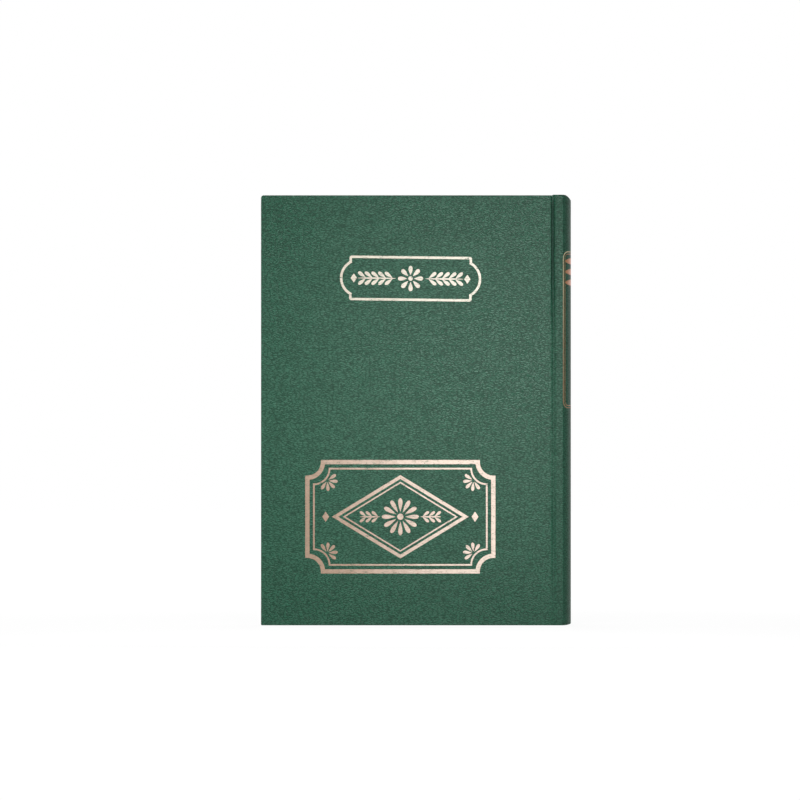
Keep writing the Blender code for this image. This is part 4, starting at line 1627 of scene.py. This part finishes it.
greyboard = board_stock(
    "greyboard", pale=(0.34, 0.32, 0.29, 1.0), shade=(0.24, 0.22, 0.20, 1.0), fibre=1100.0,
)
spine_card = board_stock(
    "spine_card", pale=(0.46, 0.40, 0.31, 1.0), shade=(0.34, 0.29, 0.22, 1.0), fibre=900.0,
)
kraft = board_stock(
    "kraft_paper", pale=(0.40, 0.25, 0.13, 1.0), shade=(0.30, 0.18, 0.09, 1.0), fibre=700.0, relief=0.2,
)
mull = woven("cotton_mull", thread=(0.74, 0.71, 0.62, 1.0), gap=(0.34, 0.31, 0.25, 1.0), threads=900.0)
linen = woven("linen_thread", thread=(0.80, 0.76, 0.66, 1.0), gap=(0.55, 0.51, 0.42, 1.0), threads=2600.0)

INNER = {
    "mull": mull, "kraft_lining": kraft, "spine_inlay": spine_card,
    "headband": band_tape, "tailband": band_tape,
}
for label, _ in SIDES:
    INNER[label + "_board"] = greyboard
    INNER[label + "_mull_wing"] = mull
for number in range(1, SEWING_THREADS + 1):
    INNER["sewing_thread_%d" % number] = linen
for node, mat in INNER.items():
    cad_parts[node].material_slots[0].material = mat
print("inner pieces finished:", len(INNER))

# %% [markdown]
# ## Floor, light and camera
#
# The book stands on a white floor in a white room. Camera rays and mirror rays see the white itself,
# while the floor keeps a part of its lit colour so that the book still throws a soft shadow. The key is
# a soft box in front and a little to the left, so the round of the spine falls into shade. It gives no
# gloss, and a second box to the right gives only gloss: photographers part the two with polarising
# sheets, and it lets the sheen on cloth and foil be placed by itself. Boxes further off, behind, above and
# beside, keep the other sides readable.

# %% Floor and world
FLOOR_HALF = 6.0
FLOOR_PAINT = (0.88, 0.88, 0.88, 1.0)
FLOOR_WHITE = 1.02
FLOOR_GLOW = 0.91
SHADOW_NEAR, SHADOW_FAR = 0.25, 0.8
AMBIENT = 0.16


def seen_directly(wires):
    """One for rays that come from the camera, a reflection or through glass."""
    path = wires.add("ShaderNodeLightPath").outputs
    seen = wires.math("MAXIMUM", path["Is Camera Ray"], path["Is Glossy Ray"])
    return wires.math("MAXIMUM", seen, path["Is Transmission Ray"])


floor_mesh = bpy.data.meshes.new("floor")
floor_corners = [(u * FLOOR_HALF, v * FLOOR_HALF, 0) for u, v in ((-1, -1), (1, -1), (1, 1), (-1, 1))]
floor_mesh.from_pydata(floor_corners, [], [(0, 1, 2, 3)])
floor = bpy.data.objects.new("floor", floor_mesh)
bpy.context.collection.objects.link(floor)
floor_mat = bpy.data.materials.new("white_floor")
floor_mat.use_nodes = True
wires = Wires(floor_mat.node_tree)
floor_mat.node_tree.nodes.clear()
paint = wires.add("ShaderNodeBsdfDiffuse", {"Color": FLOOR_PAINT}).outputs[0]
glow = wires.add("ShaderNodeEmission", {"Color": (1, 1, 1, 1), "Strength": FLOOR_WHITE}).outputs[0]
away = wires.vector("LENGTH", object_place(wires))["Value"]
glow_share = wires.ramp(away, SHADOW_NEAR, SHADOW_FAR, FLOOR_GLOW, 1.0)
seen_share = wires.product(seen_directly(wires), glow_share)
surface = wires.add("ShaderNodeMixShader", {0: seen_share, 1: paint, 2: glow}).outputs[0]
wires.add("ShaderNodeOutputMaterial", {"Surface": surface})
floor_mesh.materials.append(floor_mat)

world = bpy.data.worlds.new("white_room")
world.use_nodes = True
bpy.context.scene.world = world
wires = Wires(world.node_tree)
sky = world.node_tree.nodes["Background"]
sky.inputs["Color"].default_value = (1, 1, 1, 1)
strength = wires.math("MULTIPLY_ADD", seen_directly(wires), 1.0 - AMBIENT, AMBIENT)
wires.feed(sky.inputs["Strength"], strength)
print("floor and world ready")


# %% Soft boxes and camera
def soft_box(name, place, target, size, watts, sheen=True, fill=True):
    """A flat light; without sheen it leaves no gloss, and without fill it gives nothing but gloss."""
    light = bpy.data.lights.new(name, "AREA")
    light.shape = "RECTANGLE"
    light.size, light.size_y = size
    light.energy = watts
    box = bpy.data.objects.new(name, light)
    box.location = place
    box.rotation_euler = (Vector(target) - Vector(place)).to_track_quat("-Z", "Y").to_euler()
    box.visible_camera = False
    box.visible_glossy = sheen
    box.visible_diffuse = fill
    bpy.context.collection.objects.link(box)


soft_box("key", (-0.035, -0.52, 0.155), (0.03, 0.0, 0.15), (0.20, 0.20), 2.05, sheen=False)
soft_box("sheen", (0.105, -0.58, 0.208), (0.05, 0.0, 0.19), (0.30, 0.15), 3.75, fill=False)
soft_box("back", (-0.35, 1.3, 0.35), (0.0, 0.0, 0.15), (0.8, 0.8), 11.0)
soft_box("top", (0.0, 0.25, 1.4), (0.0, 0.05, 0.3), (0.6, 0.6), 5.0)
soft_box("fore_side", (-1.3, 0.2, 0.3), (0.0, 0.0, 0.15), (0.6, 0.6), 6.0)
soft_box("spine_side", (0.9, 1.1, 0.3), (0.1, 0.0, 0.15), (0.6, 0.6), 6.0, sheen=False)

CAMERA_DISTANCE = 6.0
FRAME_WIDTH = 563.6 * MM
VIEW_X, VIEW_Z = FORE_X + 97.95 * MM, 158.75 * MM
camera_data = bpy.data.cameras.new("camera")
camera_data.sensor_width = 36.0
camera_data.lens = camera_data.sensor_width * CAMERA_DISTANCE / FRAME_WIDTH
camera_data.clip_end = 100.0
camera = bpy.data.objects.new("camera", camera_data)
camera.location = (VIEW_X, -FACE - CAMERA_DISTANCE, VIEW_Z)
camera.rotation_euler = (math.pi / 2, 0.0, 0.0)
bpy.context.collection.objects.link(camera)
bpy.context.scene.camera = camera
bpy.context.scene.view_settings.view_transform = "Standard"
print("camera at %.2f m with a %.0f mm lens" % (CAMERA_DISTANCE, camera_data.lens))
